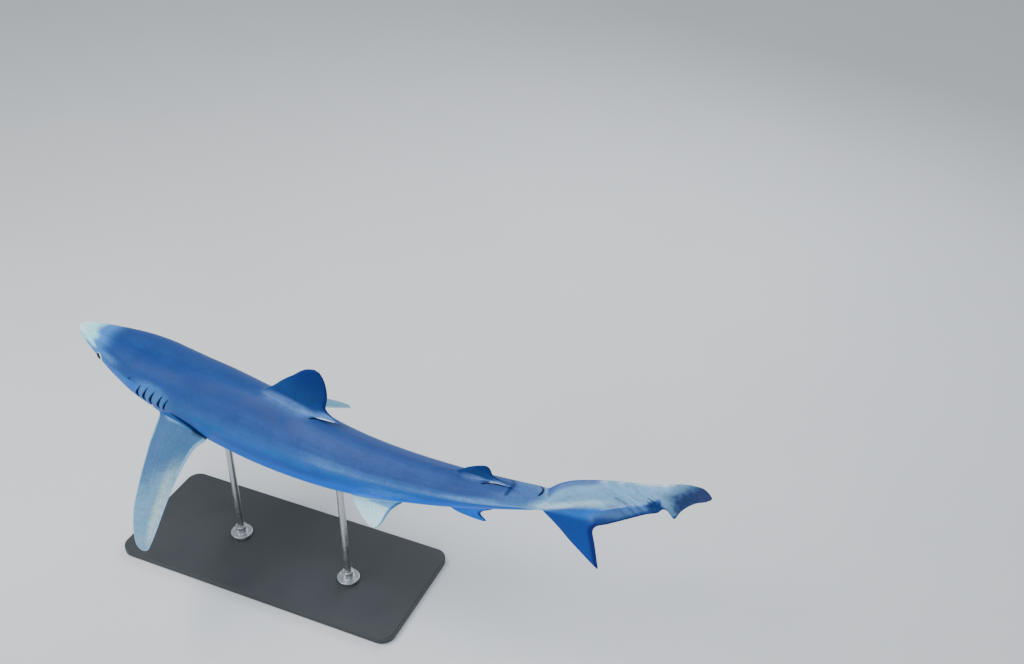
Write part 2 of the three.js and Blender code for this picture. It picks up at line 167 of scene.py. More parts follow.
def toSpine(points):  # the station, left and up of points near the body
    s = np.clip((points[..., 0] - spineShape["snout"][0]), 0, spineShape["end"])
    for _ in range(6):
        point, along, leftward, upward = spineFrame(s)
        s = np.clip(s + ((points - point) * along).sum(-1), 0, spineShape["end"])
    point, along, leftward, upward = spineFrame(s)
    return s, ((points - point) * leftward).sum(-1), ((points - point) * upward).sum(-1)


# Sections of the body and the tail

bodySections = [  # station, half width, top, bottom
    [0, 0, 0, 0], [20, 26, 16, 9], [44, 38, 23, 14], [99, 60, 34, 25], [154, 79, 46, 39],
    [242, 103, 62, 60], [330, 116, 73, 85], [440, 117, 89.5, 105], [594, 112.5, 113.5, 115.5],
    [770, 105.5, 123, 119], [924, 97, 110, 113], [1100, 83, 86, 102], [1276, 69, 65.5, 81.5],
    [1430, 55, 52, 63.5], [1540, 44, 46, 46.5], [1620, 37, 39.5, 37], [1661, 34, 37, 36],
]
bodyEnd = bodySections[-1][0]  # where the tail fin begins
widthOver, topOver, bottomOver = [curve([(math.sqrt(r[0]), r[k]) for r in bodySections]) for k in (1, 2, 3)]
topShape = curve([[0, 1], [330, 0.95], [600, 1], [770, 1.12], [950, 1.05], [1300, 1]])
bellyShape = curve([[0, 0.9], [120, 0.72], [330, 0.8], [600, 0.9], [1300, 1]])

tail = {
    "start": 1600,
    "joined": 1628,
    "end": 2128,
    "lean": 0.45,
    "leanBelow": 40,
    "web": 3.2,
    "edge": 0.7,
    "top": [[1600, 42], [1640, 38], [1652, 36], [1663, 34], [1677, 47.5], [1692, 62], [1708, 73],
            [1742, 87], [1799, 98], [1906, 120], [1977, 144], [2066, 181], [2098, 186], [2116, 180],
            [2128, 170]],
    "bottom": [[1600, -39], [1646, -40], [1655, -60], [1671, -102], [1688, -150], [1708, -183],
               [1731, -209], [1750, -221], [1757, -192], [1768, -145], [1780, -91], [1798, -69],
               [1849, -43], [1904, -4], [1957, 35], [1985, 52], [1999, 70], [2006, 72], [2035, 54],
               [2049, 84], [2070, 114], [2093, 136], [2112, 148], [2128, 163]],
    "axis": [[1600, 0], [1650, 0], [1700, 20], [1800, 62], [1906, 90], [1977, 118], [2066, 152], [2128, 168]],
    "core": [[1600, 41], [1640, 40], [1700, 66], [1800, 62], [1904, 46], [2128, 16]],
    "half": [[1600, 38.5], [1650, 34], [1700, 25], [1800, 15], [1904, 10], [2000, 7], [2128, 2.5]],
}
tailTop, tailBottom, tailAxis, tailCore, tailHalf = [curve(tail[k]) for k in
                                                     ("top", "bottom", "axis", "core", "half")]


def bodyPoint(s, angle):
    root = np.sqrt(s)
    c, n = np.cos(angle), np.sin(angle)
    shape = np.where(n > 0, topShape(s), bellyShape(s))
    height = np.where(n > 0, topOver(root), bottomOver(root))
    return (widthOver(root) * np.sign(c) * np.abs(c) ** shape,
            height * np.sign(n) * np.abs(n) ** np.sqrt(shape))


def tailPoint(s, angle):
    c, n = np.cos(angle), np.sin(angle)
    axis = tailAxis(s)
    reach = np.where(n > 0, tailTop(s) - axis, axis - tailBottom(s))
    up = axis + reach * n
    core = np.where(n > 0, reach, np.minimum(tailCore(s), reach))
    flesh = np.maximum(0, 1 - ((up - axis) / core) ** 2) ** np.where(n > 0, 0.5, 1.2)
    web = tail["edge"] + (np.minimum(tail["web"], tailHalf(s)) - tail["edge"]) * (1 - np.abs(n))
    fade = ease(s, tail["start"], tail["start"] + 60)
    half = mix(tailHalf(s) * np.abs(c), np.maximum(tailHalf(s) * flesh, web * (np.abs(c) > 1e-6)), fade)
    return np.sign(c) * half, up


def skinPoint(s, angle):  # station, left and up of a point of the bare body
    joined = ease(s, tail["start"], tail["joined"])
    bodyLeft, bodyUp = bodyPoint(np.minimum(s, bodyEnd), angle)
    tailLeft, tailUp = tailPoint(np.maximum(s, tail["start"]), angle)
    left, up = mix(bodyLeft, tailLeft, joined), mix(bodyUp, tailUp, joined)
    lean = tail["lean"] * np.maximum(0, -up - tail["leanBelow"]) * (s > tail["start"])
    return s + lean, left, up


def outside(s, left, up):  # above 1 outside the body, below 1 inside it
    root = np.sqrt(s)
    shape = np.where(up > 0, topShape(s), bellyShape(s))
    height = np.where(up > 0, topOver(root), bottomOver(root))
    across = np.abs(left) / widthOver(root)
    return across ** (2 / shape) + (np.abs(up) / height) ** (2 / np.sqrt(shape))


# The fins. A fin's rows run from its front edge to its rear edge and fan out from the root to the tip.
# Row: front along and out, rear along and out, thickness, half the thickness of the rear edge.

fins = {
    "dorsalFirst": {
        "plane": "median",
        "side": 1,
        "halfCells": 4,
        "fillet": 20,
        "rows": [
            [758, 96, 918, 94, 30, 12], [752, 118, 934, 108.5, 28, 13], [755, 126, 948, 110.8, 26, 12],
            [762, 132, 970, 110.8, 24, 10], [770, 139, 995, 111.2, 23, 7], [778, 145, 1016, 112, 22, 4.5],
            [786, 152, 1030, 114.5, 21, 2.5], [793, 159, 1022, 119, 20.5, 1.8],
            [801, 167, 1003, 126, 20, 1.3], [811, 178, 985, 136, 19, 1], [824, 190, 976, 148, 18, 0.8],
            [840, 204, 979, 172, 16.5, 0.7],
            [859, 219, 979, 195, 14.5, 0.7], [878, 237, 973, 221, 12, 0.7], [900, 252.5, 963, 243, 9, 0.7],
            [924, 261, 949, 258, 6, 0.7],
        ],
    },
    "dorsalSecond": {
        "plane": "median",
        "side": 1,
        "sway": (1440, 1561, 18),
        "halfCells": 4,
        "fillet": 9,
        "rows": [
            [1404, 36, 1460, 34, 15, 6], [1394, 52, 1474, 48, 14, 6.5], [1397, 57, 1492, 48.3, 13, 5.5],
            [1402, 62, 1515, 47.5, 12.5, 4], [1407, 66, 1540, 47, 12, 2.6], [1412, 69, 1561, 48, 11.5, 1.5],
            [1417, 72, 1545, 54, 11, 1.2], [1423, 76, 1522, 61, 10.5, 0.9], [1431, 81, 1506, 69, 10, 0.8],
            [1442, 86, 1501, 80, 9, 0.7], [1455, 91.5, 1498, 88, 7.5, 0.7], [1468, 96, 1495, 94, 6, 0.7],
            [1480, 98.8, 1491, 97.8, 4, 0.6],
        ],
    },
    "anal": {
        "plane": "median",
        "side": -1,
        "halfCells": 3,
        "fillet": 8,
        "rows": [
            [1378, -45, 1444, -42, 14, 5], [1366, -66, 1460, -60, 13, 5.5], [1369, -71, 1476, -62.5, 12, 4],
            [1373, -77, 1494, -66, 11.5, 2.5], [1378, -84, 1505, -71, 11, 1.5],
            [1384, -89, 1493, -77, 10.5, 1.1], [1392, -95, 1479, -84, 10, 0.9],
            [1403, -101, 1472, -92, 9.5, 0.8],
            [1418, -107, 1472, -99.5, 8.5, 0.7], [1438, -114, 1477, -108, 7.5, 0.7],
            [1458, -120, 1484, -116, 6, 0.7], [1477, -125.5, 1489, -122.5, 4, 0.6],
        ],
    },
    "pectoral": {
        "plane": "paired",
        "root": (430, 90, -70),
        "frameAt": 520,
        "droop": 18,
        "halfCells": 4,
        "fillet": 14,
        "rows": [
            [22, -60, 88, -48, 34, 8], [2, -12, 98, -8, 32, 9], [2, 6, 116, 0, 30, 7], [7, 16, 149, 0, 28, 5],
            [14, 30, 181, -2, 26, 3], [21, 45, 192, 12, 25, 1.6], [30, 62, 189, 30, 24, 1.2],
            [42, 84, 186, 52, 23, 1], [56.5, 112, 191.5, 80, 22, 0.9], [78, 147, 202, 118, 20, 0.8],
            [104.5, 191, 218, 164, 17.5, 0.8], [136.5, 240, 239, 213, 15, 0.8],
            [170, 290, 261.5, 262, 12.5, 0.8], [205, 332.5, 284.5, 308, 10.5, 0.8],
            [238, 364, 302.5, 346, 9, 0.8], [263, 384, 314.5, 373.5, 7.5, 0.8],
            [283, 395.5, 319.5, 390, 6, 0.8], [297, 399.5, 312.5, 398.5, 4, 0.7],
        ],
    },
    "pelvic": {
        "plane": "paired",
        "root": (1096, 36, -84),
        "frameAt": 1150,
        "droop": 35,
        "halfCells": 3,
        "fillet": 8,
        "rows": [
            [10, -45, 82, -42, 14, 5], [3, -22, 92, -24, 13, 5], [2, -15, 112, -19, 12.5, 4],
            [3, -8, 134, -14.5, 12, 3], [4, -2, 153, -9, 11.5, 1.6], [5, 6, 147, -1, 11, 1.2],
            [8, 15, 138.5, 9, 10.5, 1], [13.5, 24, 131.5, 20, 10, 0.9], [23.5, 35.5, 126, 33.5, 9, 0.8],
            [36, 47, 122.5, 47, 8, 0.8], [49.5, 58.5, 119.5, 58.5, 7, 0.8], [64, 69.5, 116, 69.5, 6, 0.7],
            [77.5, 78.5, 111, 78.5, 4.5, 0.7], [89, 84, 103, 84, 3, 0.6],
        ],
    },
}


def finRow(rows, t):  # Catmull-Rom through the rows
    rows = np.asarray(rows, float)
    t = np.clip(t, 0, len(rows) - 1)
    i = np.minimum(t.astype(int), len(rows) - 2)
    f = (t - i)[..., None]
    a, b, c, d = [rows[np.clip(i + k, 0, len(rows) - 1)] for k in (-1, 0, 1, 2)]
    return 0.5 * (2 * b + (c - a) * f + (2 * a - 5 * b + 4 * c - d) * f ** 2
                  + (3 * b - a - 3 * c + d) * f ** 3)


def foil(c):  # a streamlined half section, 1 at its thickest
    return 2.969 * np.sqrt(c) - 1.26 * c - 3.516 * c ** 2 + 2.843 * c ** 3 - 1.036 * c ** 4


def finPoint(fin, side, t, chord, across, round_):
    # chord runs 0 to 1 from front to rear, across is -1 to 1 between the faces, round_ swells the rear edge
    row = finRow(fin["rows"], t)
    dx, dy = row[..., 2] - row[..., 0], row[..., 3] - row[..., 1]
    length = np.hypot(dx, dy)
    half = row[..., 4] / 2 * foil(chord) + row[..., 5] * ease(chord, 0.3, 1)
    rear = row[..., 5] * round_ / length
    x, y = row[..., 0] + dx * (chord + rear), row[..., 1] + dy * (chord + rear)
    offset = half * across
    if fin["plane"] == "median":
        start, end, left = fin.get("sway", (0, 1, 0))  # a rear tip that hangs to the shark's left
        return place(x, offset + left * np.maximum(0, (x - start) / (end - start)) ** 2, y)
    s, out, up = fin["root"]
    root = place(s, side * out, up)
    _, along, leftward, upward = spineFrame(fin["frameAt"])
    droop = math.radians(fin["droop"])
    outward = leftward * side
    spanward = outward * math.cos(droop) - upward * math.sin(droop)
    normal = upward * math.cos(droop) + outward * math.sin(droop)
    return root + along * x[..., None] + spanward * y[..., None] + normal * offset[..., None]


print("shapes ready")


# The head's features

mouth = {"front": 158, "corner": 236, "halfWidth": 74, "fore": 95, "aft": 350, "depth": 10, "open": 1.9}
gills = {"stations": [350, 378, 407, 440, 464], "top": [14, 21, 21, 18, 17],
         "bottom": [-40, -41, -40, -37, -33], "width": [1, 1, 1, 0.9, 0.65], "waist": -24,
         "topBack": 19, "bottomBack": 6, "depth": 8, "flap": 2.4,
         "behind": 520}  # no part of the head lies behind this station
eye = {"station": 150, "height": -4, "radius": 15, "proud": 3, "opening": 10, "block": 11, "ring": 4}
nostril = {"station": 99, "out": 40, "length": 8, "width": 2.4, "depth": 5, "turn": 35}
pit = {"station": 1652, "sweep": 11, "reach": 20, "depth": 3.5}
cornerShape = float(bellyShape(mouth["corner"]))
cornerCos = (mouth["halfWidth"] / float(widthOver(math.sqrt(mouth["corner"])))) ** (1 / cornerShape)
mouthAcross = lambda angle: np.abs(np.cos(angle)) / cornerCos
mouthHold = curve([[mouth["fore"], 0], [mouth["corner"], 1], [mouth["aft"], 0]])


def gillBend(s, angle):  # the slits lean back above and below their foremost point
    high = bodyPoint(s, angle)[1] - gills["waist"]
    above, below = np.maximum(0, high / 42), np.maximum(0, -high / 20)
    fade = fall(high, 40, 95)
    return fade * (gills["topBack"] * np.minimum(above, 1.6) ** 1.25
                   + gills["bottomBack"] * np.minimum(below, 1.3) ** 1.5)


def bentRows(s, angle):  # rows follow the mouth's curve and the lean of the gill slits
    inside = np.log1p(np.exp(np.clip((1 - mouthAcross(angle) ** 2) * 6, -30, 30))) / 6
    forward = (mouth["corner"] - mouth["front"]) * inside * (np.sin(angle) < 0)
    back = gillBend(s, angle) * between(s, 300, 345, 478, 530)
    return s - forward * mouthHold(s) + back


def gillRelief(s, up):  # outward and backward shift, the painted shade inside a slit, and the painted highlight on its raised lower lip
    out, back, dark, lipGleam = [np.zeros_like(s) for _ in range(4)]
    for station, top, bottom, width in zip(gills["stations"], gills["top"], gills["bottom"], gills["width"]):
        high = (up - (top + bottom) / 2) / ((top - bottom) / 2)
        span = np.clip(1 - high ** 2, 0, 1) ** 0.5
        wide = width * mix(1.4, 4.4, ease(high, 0.8, -0.7)) * (0.35 + 0.65 * span)
        d = s - station
        slit = np.exp(-(np.abs(d) / wide) ** 3) * span
        flap = between(d, -20, -5, -wide - 0.6, -wide + 1) * ease(span, 0, 0.8)
        out += gills["flap"] * flap - gills["depth"] * slit
        back += 1.2 * np.exp(-((d + wide + 0.5) / 1.5) ** 2) * span
        # the slit's inside is darkened as painted shade
        dark = np.maximum(dark, np.exp(-(np.abs(d) / (wide * 1.25)) ** 4) * ease(span, 0.02, 0.3))
        low = bump(high, -1.06, 0.3) * (station < 430)
        out += 3.5 * low * bump(d, 0, 11)
        # the raised lower lip gets a painted highlight
        lipGleam = np.maximum(lipGleam, low * bump(d, 0, 9))
    return out, back, dark, lipGleam


def mouthRelief(s, angle):
    across = mouthAcross(angle) + 9 * (np.sin(angle) > 0)
    line = fall(across, 0.88, 1.03)
    d = s - mouth["corner"]
    lips = 1.3 * np.exp(-((d + 6) / 3.2) ** 2) + 1.8 * np.exp(-((d - 6.5) / 4) ** 2)
    groove = np.exp(-(d / mouth["open"]) ** 2) * line
    crease = 2 * np.exp(-((d - 3) / 2) ** 2) * bump(across, 1.05, 0.08)
    # the second value marks the mouth's groove for painted shade
    return lips * line - mouth["depth"] * groove - crease, np.exp(-(d / 2.2) ** 4) * line


def nostrilRelief(s, left, up):
    turn = math.radians(nostril["turn"])
    x, y = s - nostril["station"], np.abs(left) - nostril["out"]
    a, b = x * math.cos(turn) + y * math.sin(turn), y * math.cos(turn) - x * math.sin(turn)
    under = up < 0
    hole = np.exp(-(a / nostril["width"]) ** 2 - (b / nostril["length"]) ** 2) * under
    flap = np.exp(-((a - 4) / 2.2) ** 2 - ((b + 1) / 5) ** 2) * under
    # the second value marks the nostril for painted shade
    return 1.4 * flap - nostril["depth"] * hole, ease(hole, 0.25, 0.7)


def pitRelief(s, left, up):  # the crescent notches before the tail
    top = (s - pit["station"] + pit["sweep"] * (left / pit["reach"]) ** 2) / 3.2
    notch = np.exp(-top ** 2) * fall(np.abs(left), 14, 24) * (up > 10)
    below = np.exp(-((s - 1646) / 3.5) ** 2) * fall(np.abs(left), 5, 12) * (up < -25)
    # the second value marks the notch for painted shade
    return -pit["depth"] * (notch + 0.7 * below), notch ** 0.5


def arcOver(s, angles):  # distance round the section from the shark's left
    left, up = bodyPoint(np.full_like(angles, s), angles)
    return np.concatenate([[0], np.cumsum(np.hypot(np.diff(left), np.diff(up)))])


def eyeAngle(side):
    angles = np.linspace(-1, 1, 401)
    heights = bodyPoint(np.full(401, float(eye["station"])), angles)[1]
    angle = float(np.interp(eye["height"], heights, angles))
    return angle if side > 0 else math.pi - angle


# The skin's grid

skin = {
    "columns": 128,
    "snoutRows": [0.25, 1, 2.25, 4, 6.25],
    "spacing": [[0, 2.3], [222, 2.3], [228, 1.3], [244, 1.3], [252, 2.8], [335, 2.8], [343, 1.6], [486, 1.6],
                [520, 7], [1600, 7], [1632, 3], [1660, 3], [1680, 4.5], [1730, 3.5], [1745, 2.2],
                [1800, 2.6], [1830, 5], [1960, 5], [1975, 2.4], [2005, 2.4], [2025, 4], [2100, 4], [2128, 2]],
}


def skinStations():
    spacing = curve(skin["spacing"])
    stations = list(skin["snoutRows"])
    while stations[-1] < tail["end"] - 2.5:
        stations.append(stations[-1] + float(spacing(stations[-1])))
    stations[-1] = tail["end"]
    return np.array(stations)


stations = skinStations()
rowCount, columnCount = len(stations), skin["columns"]
columnAngles = 2 * math.pi * np.arange(columnCount) / columnCount
rowGrid, angleGrid = np.meshgrid(stations, columnAngles, indexing="ij")
stationGrid = bentRows(rowGrid, angleGrid)


def roundTheEye(side):  # grid lines circle the eye, so that its opening is round
    n = eye["block"]
    middle = eyeAngle(side)
    row = int(np.argmin(np.abs(stations - eye["station"])))
    column = int(round(middle / (2 * math.pi) * columnCount))
    dense = np.linspace(middle - 1.4, middle + 1.4, 1401)
    arc = arcOver(eye["station"], dense)
    arc -= np.interp(middle, dense, arc)
    p, q = np.meshgrid(np.arange(-n, n + 1), np.arange(-n, n + 1), indexing="ij")
    rows, columns = row + p, (column + q) % columnCount
    ring = np.maximum(np.abs(p), np.abs(q))
    flatter = np.abs(p) >= np.abs(q)
    ratio = np.where(flatter, q / np.where(p == 0, 1, p), p / np.where(q == 0, 1, q))
    turn = np.where(flatter, math.pi / 4 * ratio + math.pi * (p < 0),
                    math.pi / 2 - math.pi / 4 * ratio + math.pi * (q < 0))
    reach = eye["opening"] / eye["ring"] * ring
    around = fall(ring / n, 0.45, 1)
    angles = columnAngles[columns]
    angles = middle + (angles - middle + math.pi) % (2 * math.pi) - math.pi
    s = mix(stationGrid[rows, columns], eye["station"] + reach * np.cos(turn) * 1.06, around)
    y = mix(np.interp(angles, dense, arc), reach * np.sin(turn) * 0.96, around)
    stationGrid[rows, columns] = s
    angleGrid[rows, columns] = np.interp(y, arc, dense)
    return row, column


eyeCells = {side: roundTheEye(side) for side in (1, -1)}


def eyeMiddle(side):
    left = float(bodyPoint(np.array(float(eye["station"])), np.array(0.0))[0])
    return place(float(eye["station"]), side * (left - eye["radius"] + eye["proud"]), float(eye["height"]))


def eyeOutward(side):
    return spineFrame(float(eye["station"]))[2] * side


alongGrid, leftGrid, upGrid = skinPoint(stationGrid, angleGrid)
pointGrid = place(alongGrid, leftGrid, upGrid)

downRows = np.gradient(pointGrid, axis=0)
roundRing = np.roll(pointGrid, -1, 1) - np.roll(pointGrid, 1, 1)
normalGrid = np.cross(roundRing, downRows)
normalGrid /= np.maximum(np.linalg.norm(normalGrid, axis=2), 1e-9)[..., None]
spineGrid = spineFrame(alongGrid)
if ((pointGrid - spineGrid[0]) * normalGrid).sum() < 0:
    normalGrid = -normalGrid

lidGrid = np.zeros_like(rowGrid)
for side in (1, -1):  # a pale lid round each eye
    away = pointGrid - eyeMiddle(side)
    deep = away @ eyeOutward(side)
    across = np.sqrt(np.maximum(0, (away ** 2).sum(2) - deep ** 2))
    lidGrid = np.maximum(lidGrid, bump(across, 12, 5.5) * (deep > 0))
gillOut, gillBack, slitDark, slitLip = gillRelief(rowGrid, upGrid)
mouthOut, mouthDark = mouthRelief(rowGrid, angleGrid)
nostrilOut, nostrilDark = nostrilRelief(stationGrid, leftGrid, upGrid)
pitOut, pitDark = pitRelief(alongGrid, leftGrid, upGrid)
head = rowGrid < gills["behind"]
outGrid = np.where(head, gillOut + mouthOut + nostrilOut, pitOut)
pointGrid = pointGrid + normalGrid * outGrid[..., None] + spineGrid[1] * (gillBack * head)[..., None]
print("skin grid:", rowCount, "rows")


# The skin's mesh

skinPoints = [np.array([place(0.0, 0.0, 0.0)]), pointGrid.reshape(-1, 3)]
skinFaces = []
openCells = np.zeros((rowCount - 1, columnCount), bool)
flatCount = 1 + rowCount * columnCount
gridIndex = lambda i, j: 1 + i * columnCount + j % columnCount

values = {key: np.zeros(flatCount) for key in (
    "along", "girth", "flank", "tailUp", "fin", "span", "chord", "slit", "lipGleam", "lid", "hollowShade",
    "dorsal", "pectoral", "pelvic", "anal", "underFin")}
extra = {key: [] for key in values}


def setGrid(key, grid):
    values[key][1:] = np.asarray(grid, float).reshape(-1)


setGrid("along", alongGrid / 1000)
setGrid("girth", np.sin(angleGrid))
setGrid("flank", np.cos(angleGrid))
setGrid("tailUp", upGrid / 100)
# painted shade in the gill slits, and painted highlights on their lower lips
setGrid("slit", slitDark * head)
setGrid("lipGleam", slitLip * head)
setGrid("lid", lidGrid)
# painted shade in the mouth's groove, the nostrils and the notches before the tail
setGrid("hollowShade", np.maximum(np.maximum(mouthDark, nostrilDark) * head, pitDark * (1 - head)))


def bodyAngle(s, left, up):
    root = math.sqrt(s)
    shape = float(topShape(s) if up > 0 else bellyShape(s))
    height = float(topOver(root) if up > 0 else bottomOver(root))
    c = np.sign(left) * min(1, abs(left) / float(widthOver(root))) ** (1 / shape)
    n = np.sign(up) * min(1, abs(up) / height) ** (1 / math.sqrt(shape))
    return math.atan2(n, c) % (2 * math.pi)


def leaving(fin, side, chord, across, swell):  # how far up the rows each line leaves the body
    t = np.linspace(0, 6, 601)[:, None]
    points = finPoint(fin, side, t + 0 * chord, chord + 0 * t, across + 0 * t, swell + 0 * t)
    measure = outside(*toSpine(points))
    first = np.argmax(measure > 1, axis=0)
    k = np.arange(len(chord))
    before, after = measure[np.maximum(first - 1, 0), k], measure[first, k]
    part = np.clip((1 - before) / np.maximum(after - before, 1e-9), 0, 1)
    start = np.where(first > 0, t[np.maximum(first - 1, 0), 0] + part * 0.01, 0)
    walked = np.cumsum(np.linalg.norm(np.diff(points, axis=0), axis=2), axis=0)
    walked = np.vstack([np.zeros(len(chord)), walked])
    return start, t[:, 0], walked


def growFin(name, side=1):
    fin = fins[name]
    one = np.array([0.0, 0.5, 1.0])
    start, _, _ = leaving(fin, side, one, 0 * one, 0 * one)
    s, left, up = toSpine(finPoint(fin, side, start, one, 0 * one, 0 * one))
    cells = fin["halfCells"]
    column = int(round(bodyAngle(s[1], left[1], up[1]) / (2 * math.pi) * columnCount))
    front = int(np.argmin(np.abs(stations - (s[0] - fin["fillet"] * 0.8))))
    rear = int(np.argmin(np.abs(stations - (s[2] + 2))))
    probe = finPoint(fin, side, np.array([1.5, 1.5]), np.array([0.4, 0.4]), np.array([1.0, -1.0]),
                     np.zeros(2))
    facing = pointGrid[(front + rear) // 2, (column + cells) % columnCount] \
        - pointGrid[(front + rear) // 2, (column - cells) % columnCount]
    turn = 1 if facing @ (probe[0] - probe[1]) > 0 else -1
    nearColumn, farColumn = column + turn * cells, column - turn * cells
    for i in range(front, rear):
        for j in range(column - cells, column + cells):
            openCells[i, j % columnCount] = True

    sideRows = np.arange(front, rear + 1)
    firstChord = 0.02
    sideChord = firstChord + (1 - firstChord) * (stations[sideRows] - stations[front]) \
        / (stations[rear] - stations[front])
    nose = np.linspace(1, -1, 2 * cells + 1)[1:-1]
    loop = [gridIndex(i, nearColumn) for i in sideRows[::-1]]
    loop += [gridIndex(front, nearColumn - turn * k) for k in range(1, 2 * cells)]
    loop += [gridIndex(i, farColumn) for i in sideRows]
    loop += [gridIndex(rear, farColumn + turn * k) for k in range(1, 2 * cells)]
    chord = np.concatenate([sideChord[::-1], firstChord * nose ** 2, sideChord, np.ones(len(nose))])
    across = np.concatenate([np.ones(len(sideRows)), np.sign(np.round(nose, 6)), -np.ones(len(sideRows)),
                             -nose])
    swell = np.concatenate([np.zeros(len(chord) - len(nose)), np.sqrt(1 - nose ** 2)])

    start, samples, walked = leaving(fin, side, chord, across, swell)
    fillet = fin["fillet"] * (1 - 0.85 * ease(chord, 0.8, 1))
    clear = np.array([np.interp(np.interp(start[k], samples, walked[:, k]) + fillet[k], walked[:, k], samples)
                      for k in range(len(chord))])
    last = len(fin["rows"]) - 1
    ringPoints = [finPoint(fin, side, start, chord, across, swell)]
    edge = pointGrid.reshape(-1, 3)[np.array(loop) - 1]
    foot, free = ringPoints[0], finPoint(fin, side, clear, chord, across, swell)
    rings, spans, blends = [], [], []
    for u in (0.25, 0.5, 0.75, 1.0):
        rings.append(edge * (1 - u) ** 2 + foot * 2 * u * (1 - u) + free * u ** 2)
        spans.append(mix(start, clear, u) / last)
        blends.append(np.full(len(chord), u))
    for w in np.linspace(0, 1, 3 * last)[1:]:
        t = clear + (last - clear) * w
        rings.append(finPoint(fin, side, t, chord, across, swell))
        spans.append(t / last)
        blends.append(np.ones(len(chord)))

    size = len(loop)
    base = 1 + rowCount * columnCount + sum(len(p) for p in skinPoints[2:])
    skinPoints.append(np.vstack(rings))
    ringIndex = [loop] + numbered(len(rings), size, base)
    skinFaces.extend(ringFaces(ringIndex))
    top = ringIndex[-1]
    noseMiddle = len(sideRows) + cells - 1
    for m in range(size // 2):
        corners = [top[(noseMiddle - m) % size], top[(noseMiddle - m - 1) % size],
                   top[(noseMiddle + m + 1) % size], top[(noseMiddle + m) % size]]
        skinFaces.append(tuple(dict.fromkeys(corners)))

    kind = name if name in ("pectoral", "pelvic", "anal") else "dorsal"
    count = len(rings) * size
    stationsOut, _, upOut = toSpine(np.vstack(rings))
    record = {
        "along": stationsOut / 1000, "girth": np.tile(values["girth"][loop], len(rings)),
        "flank": np.tile(values["flank"][loop], len(rings)), "tailUp": upOut / 100,
        "fin": np.concatenate(blends), "span": np.concatenate(spans), "chord": np.tile(chord, len(rings)),
        "underFin": np.tile(across < 0, len(rings)).astype(float), kind: np.ones(count),
    }
    for key in extra:
        extra[key].append(record.get(key, np.zeros(count)))
    values[kind][loop] = 1
    values["chord"][loop] = chord


for name in ("dorsalFirst", "dorsalSecond", "anal"):
    growFin(name)
for name in ("pectoral", "pelvic"):
    for side in (1, -1):
        growFin(name, side)
print("fins grown")


def sinkSocket(side):  # the lid's rim, then a cup behind the eyeball
    row, column = eyeCells[side]
    n = eye["ring"]
    for i in range(row - n, row + n):
        for j in range(column - n, column + n):
            openCells[i, j % columnCount] = True
    loop = [gridIndex(row - n, column + k) for k in range(-n, n)]
    loop += [gridIndex(row + k, column + n) for k in range(-n, n)]
    loop += [gridIndex(row + n, column - k) for k in range(-n, n)]
    loop += [gridIndex(row - k, column - n) for k in range(-n, n)]
    middle, outward = eyeMiddle(side), eyeOutward(side)
    edge = pointGrid.reshape(-1, 3)[np.array(loop) - 1]
    away = edge - middle
    height = away @ outward
    flat = away - height[:, None] * outward
    flatUnit = flat / np.linalg.norm(flat, axis=1)[:, None]
    rings = []
    # scale across, lift off the ball's own surface
    for inward, lift in ((0.3, 0.9), (0.8, 1.1), (1.4, 0.8), (1.7, 0.1)):
        radius = np.linalg.norm(flat, axis=1) - inward
        onBall = np.sqrt(np.maximum(0, (eye["radius"] + 0.1) ** 2 - radius ** 2))
        level = mix(height + lift, onBall + 0.2, ease(inward, 0.2, 1.7))
        rings.append(middle + flatUnit * radius[:, None] + outward * level[:, None])
    rim = np.linalg.norm(flat, axis=1) - 1.7
    rimAngle = np.arctan2(rim, np.sqrt(np.maximum(1, (eye["radius"] + 0.1) ** 2 - rim ** 2)))
    for step in range(1, 12):
        polar = rimAngle + (math.pi - 0.12 - rimAngle) * step / 11
        cup = eye["radius"] + 0.7
        rings.append(middle + cup * (flatUnit * np.sin(polar)[:, None] + outward * np.cos(polar)[:, None]))
    size = len(loop)
    base = 1 + rowCount * columnCount + sum(len(p) for p in skinPoints[2:])
    skinPoints.append(np.vstack(rings + [[middle - outward * (eye["radius"] + 0.7)]]))
    ringIndex = [loop] + numbered(len(rings), size, base)
    skinFaces.extend(ringFaces(ringIndex))
    pole = base + len(rings) * size
    for k in range(size):
        skinFaces.append((ringIndex[-1][k], ringIndex[-1][(k + 1) % size], pole))
    count = len(rings) * size + 1
    # the cup behind the eyeball is darkened as painted shade
    inner = np.concatenate([np.full(size * 3, 0.0), np.full(count - size * 3, 1.0)])
    record = {"along": np.full(count, eye["station"] / 1000), "girth": np.zeros(count),
              "lid": 1 - inner, "hollowShade": inner}
    for key in extra:
        extra[key].append(record.get(key, np.zeros(count)))


for side in (1, -1):
    sinkSocket(side)

for j in range(columnCount):
    skinFaces.append((0, gridIndex(0, j), gridIndex(0, j + 1)))
for i in range(rowCount - 1):
    for j in range(columnCount):
        if not openCells[i, j]:
            skinFaces.append((gridIndex(i, j), gridIndex(i + 1, j), gridIndex(i + 1, j + 1),
                              gridIndex(i, j + 1)))
quarter, lastRow = columnCount // 4, rowCount - 1
for m in range(columnCount // 2):
    corners = [gridIndex(lastRow, quarter - m), gridIndex(lastRow, quarter - m - 1),
               gridIndex(lastRow, quarter + m + 1), gridIndex(lastRow, quarter + m)]
    skinFaces.append(tuple(dict.fromkeys(corners)))

skinValues = {key: np.concatenate([values[key]] + extra[key]) for key in values}


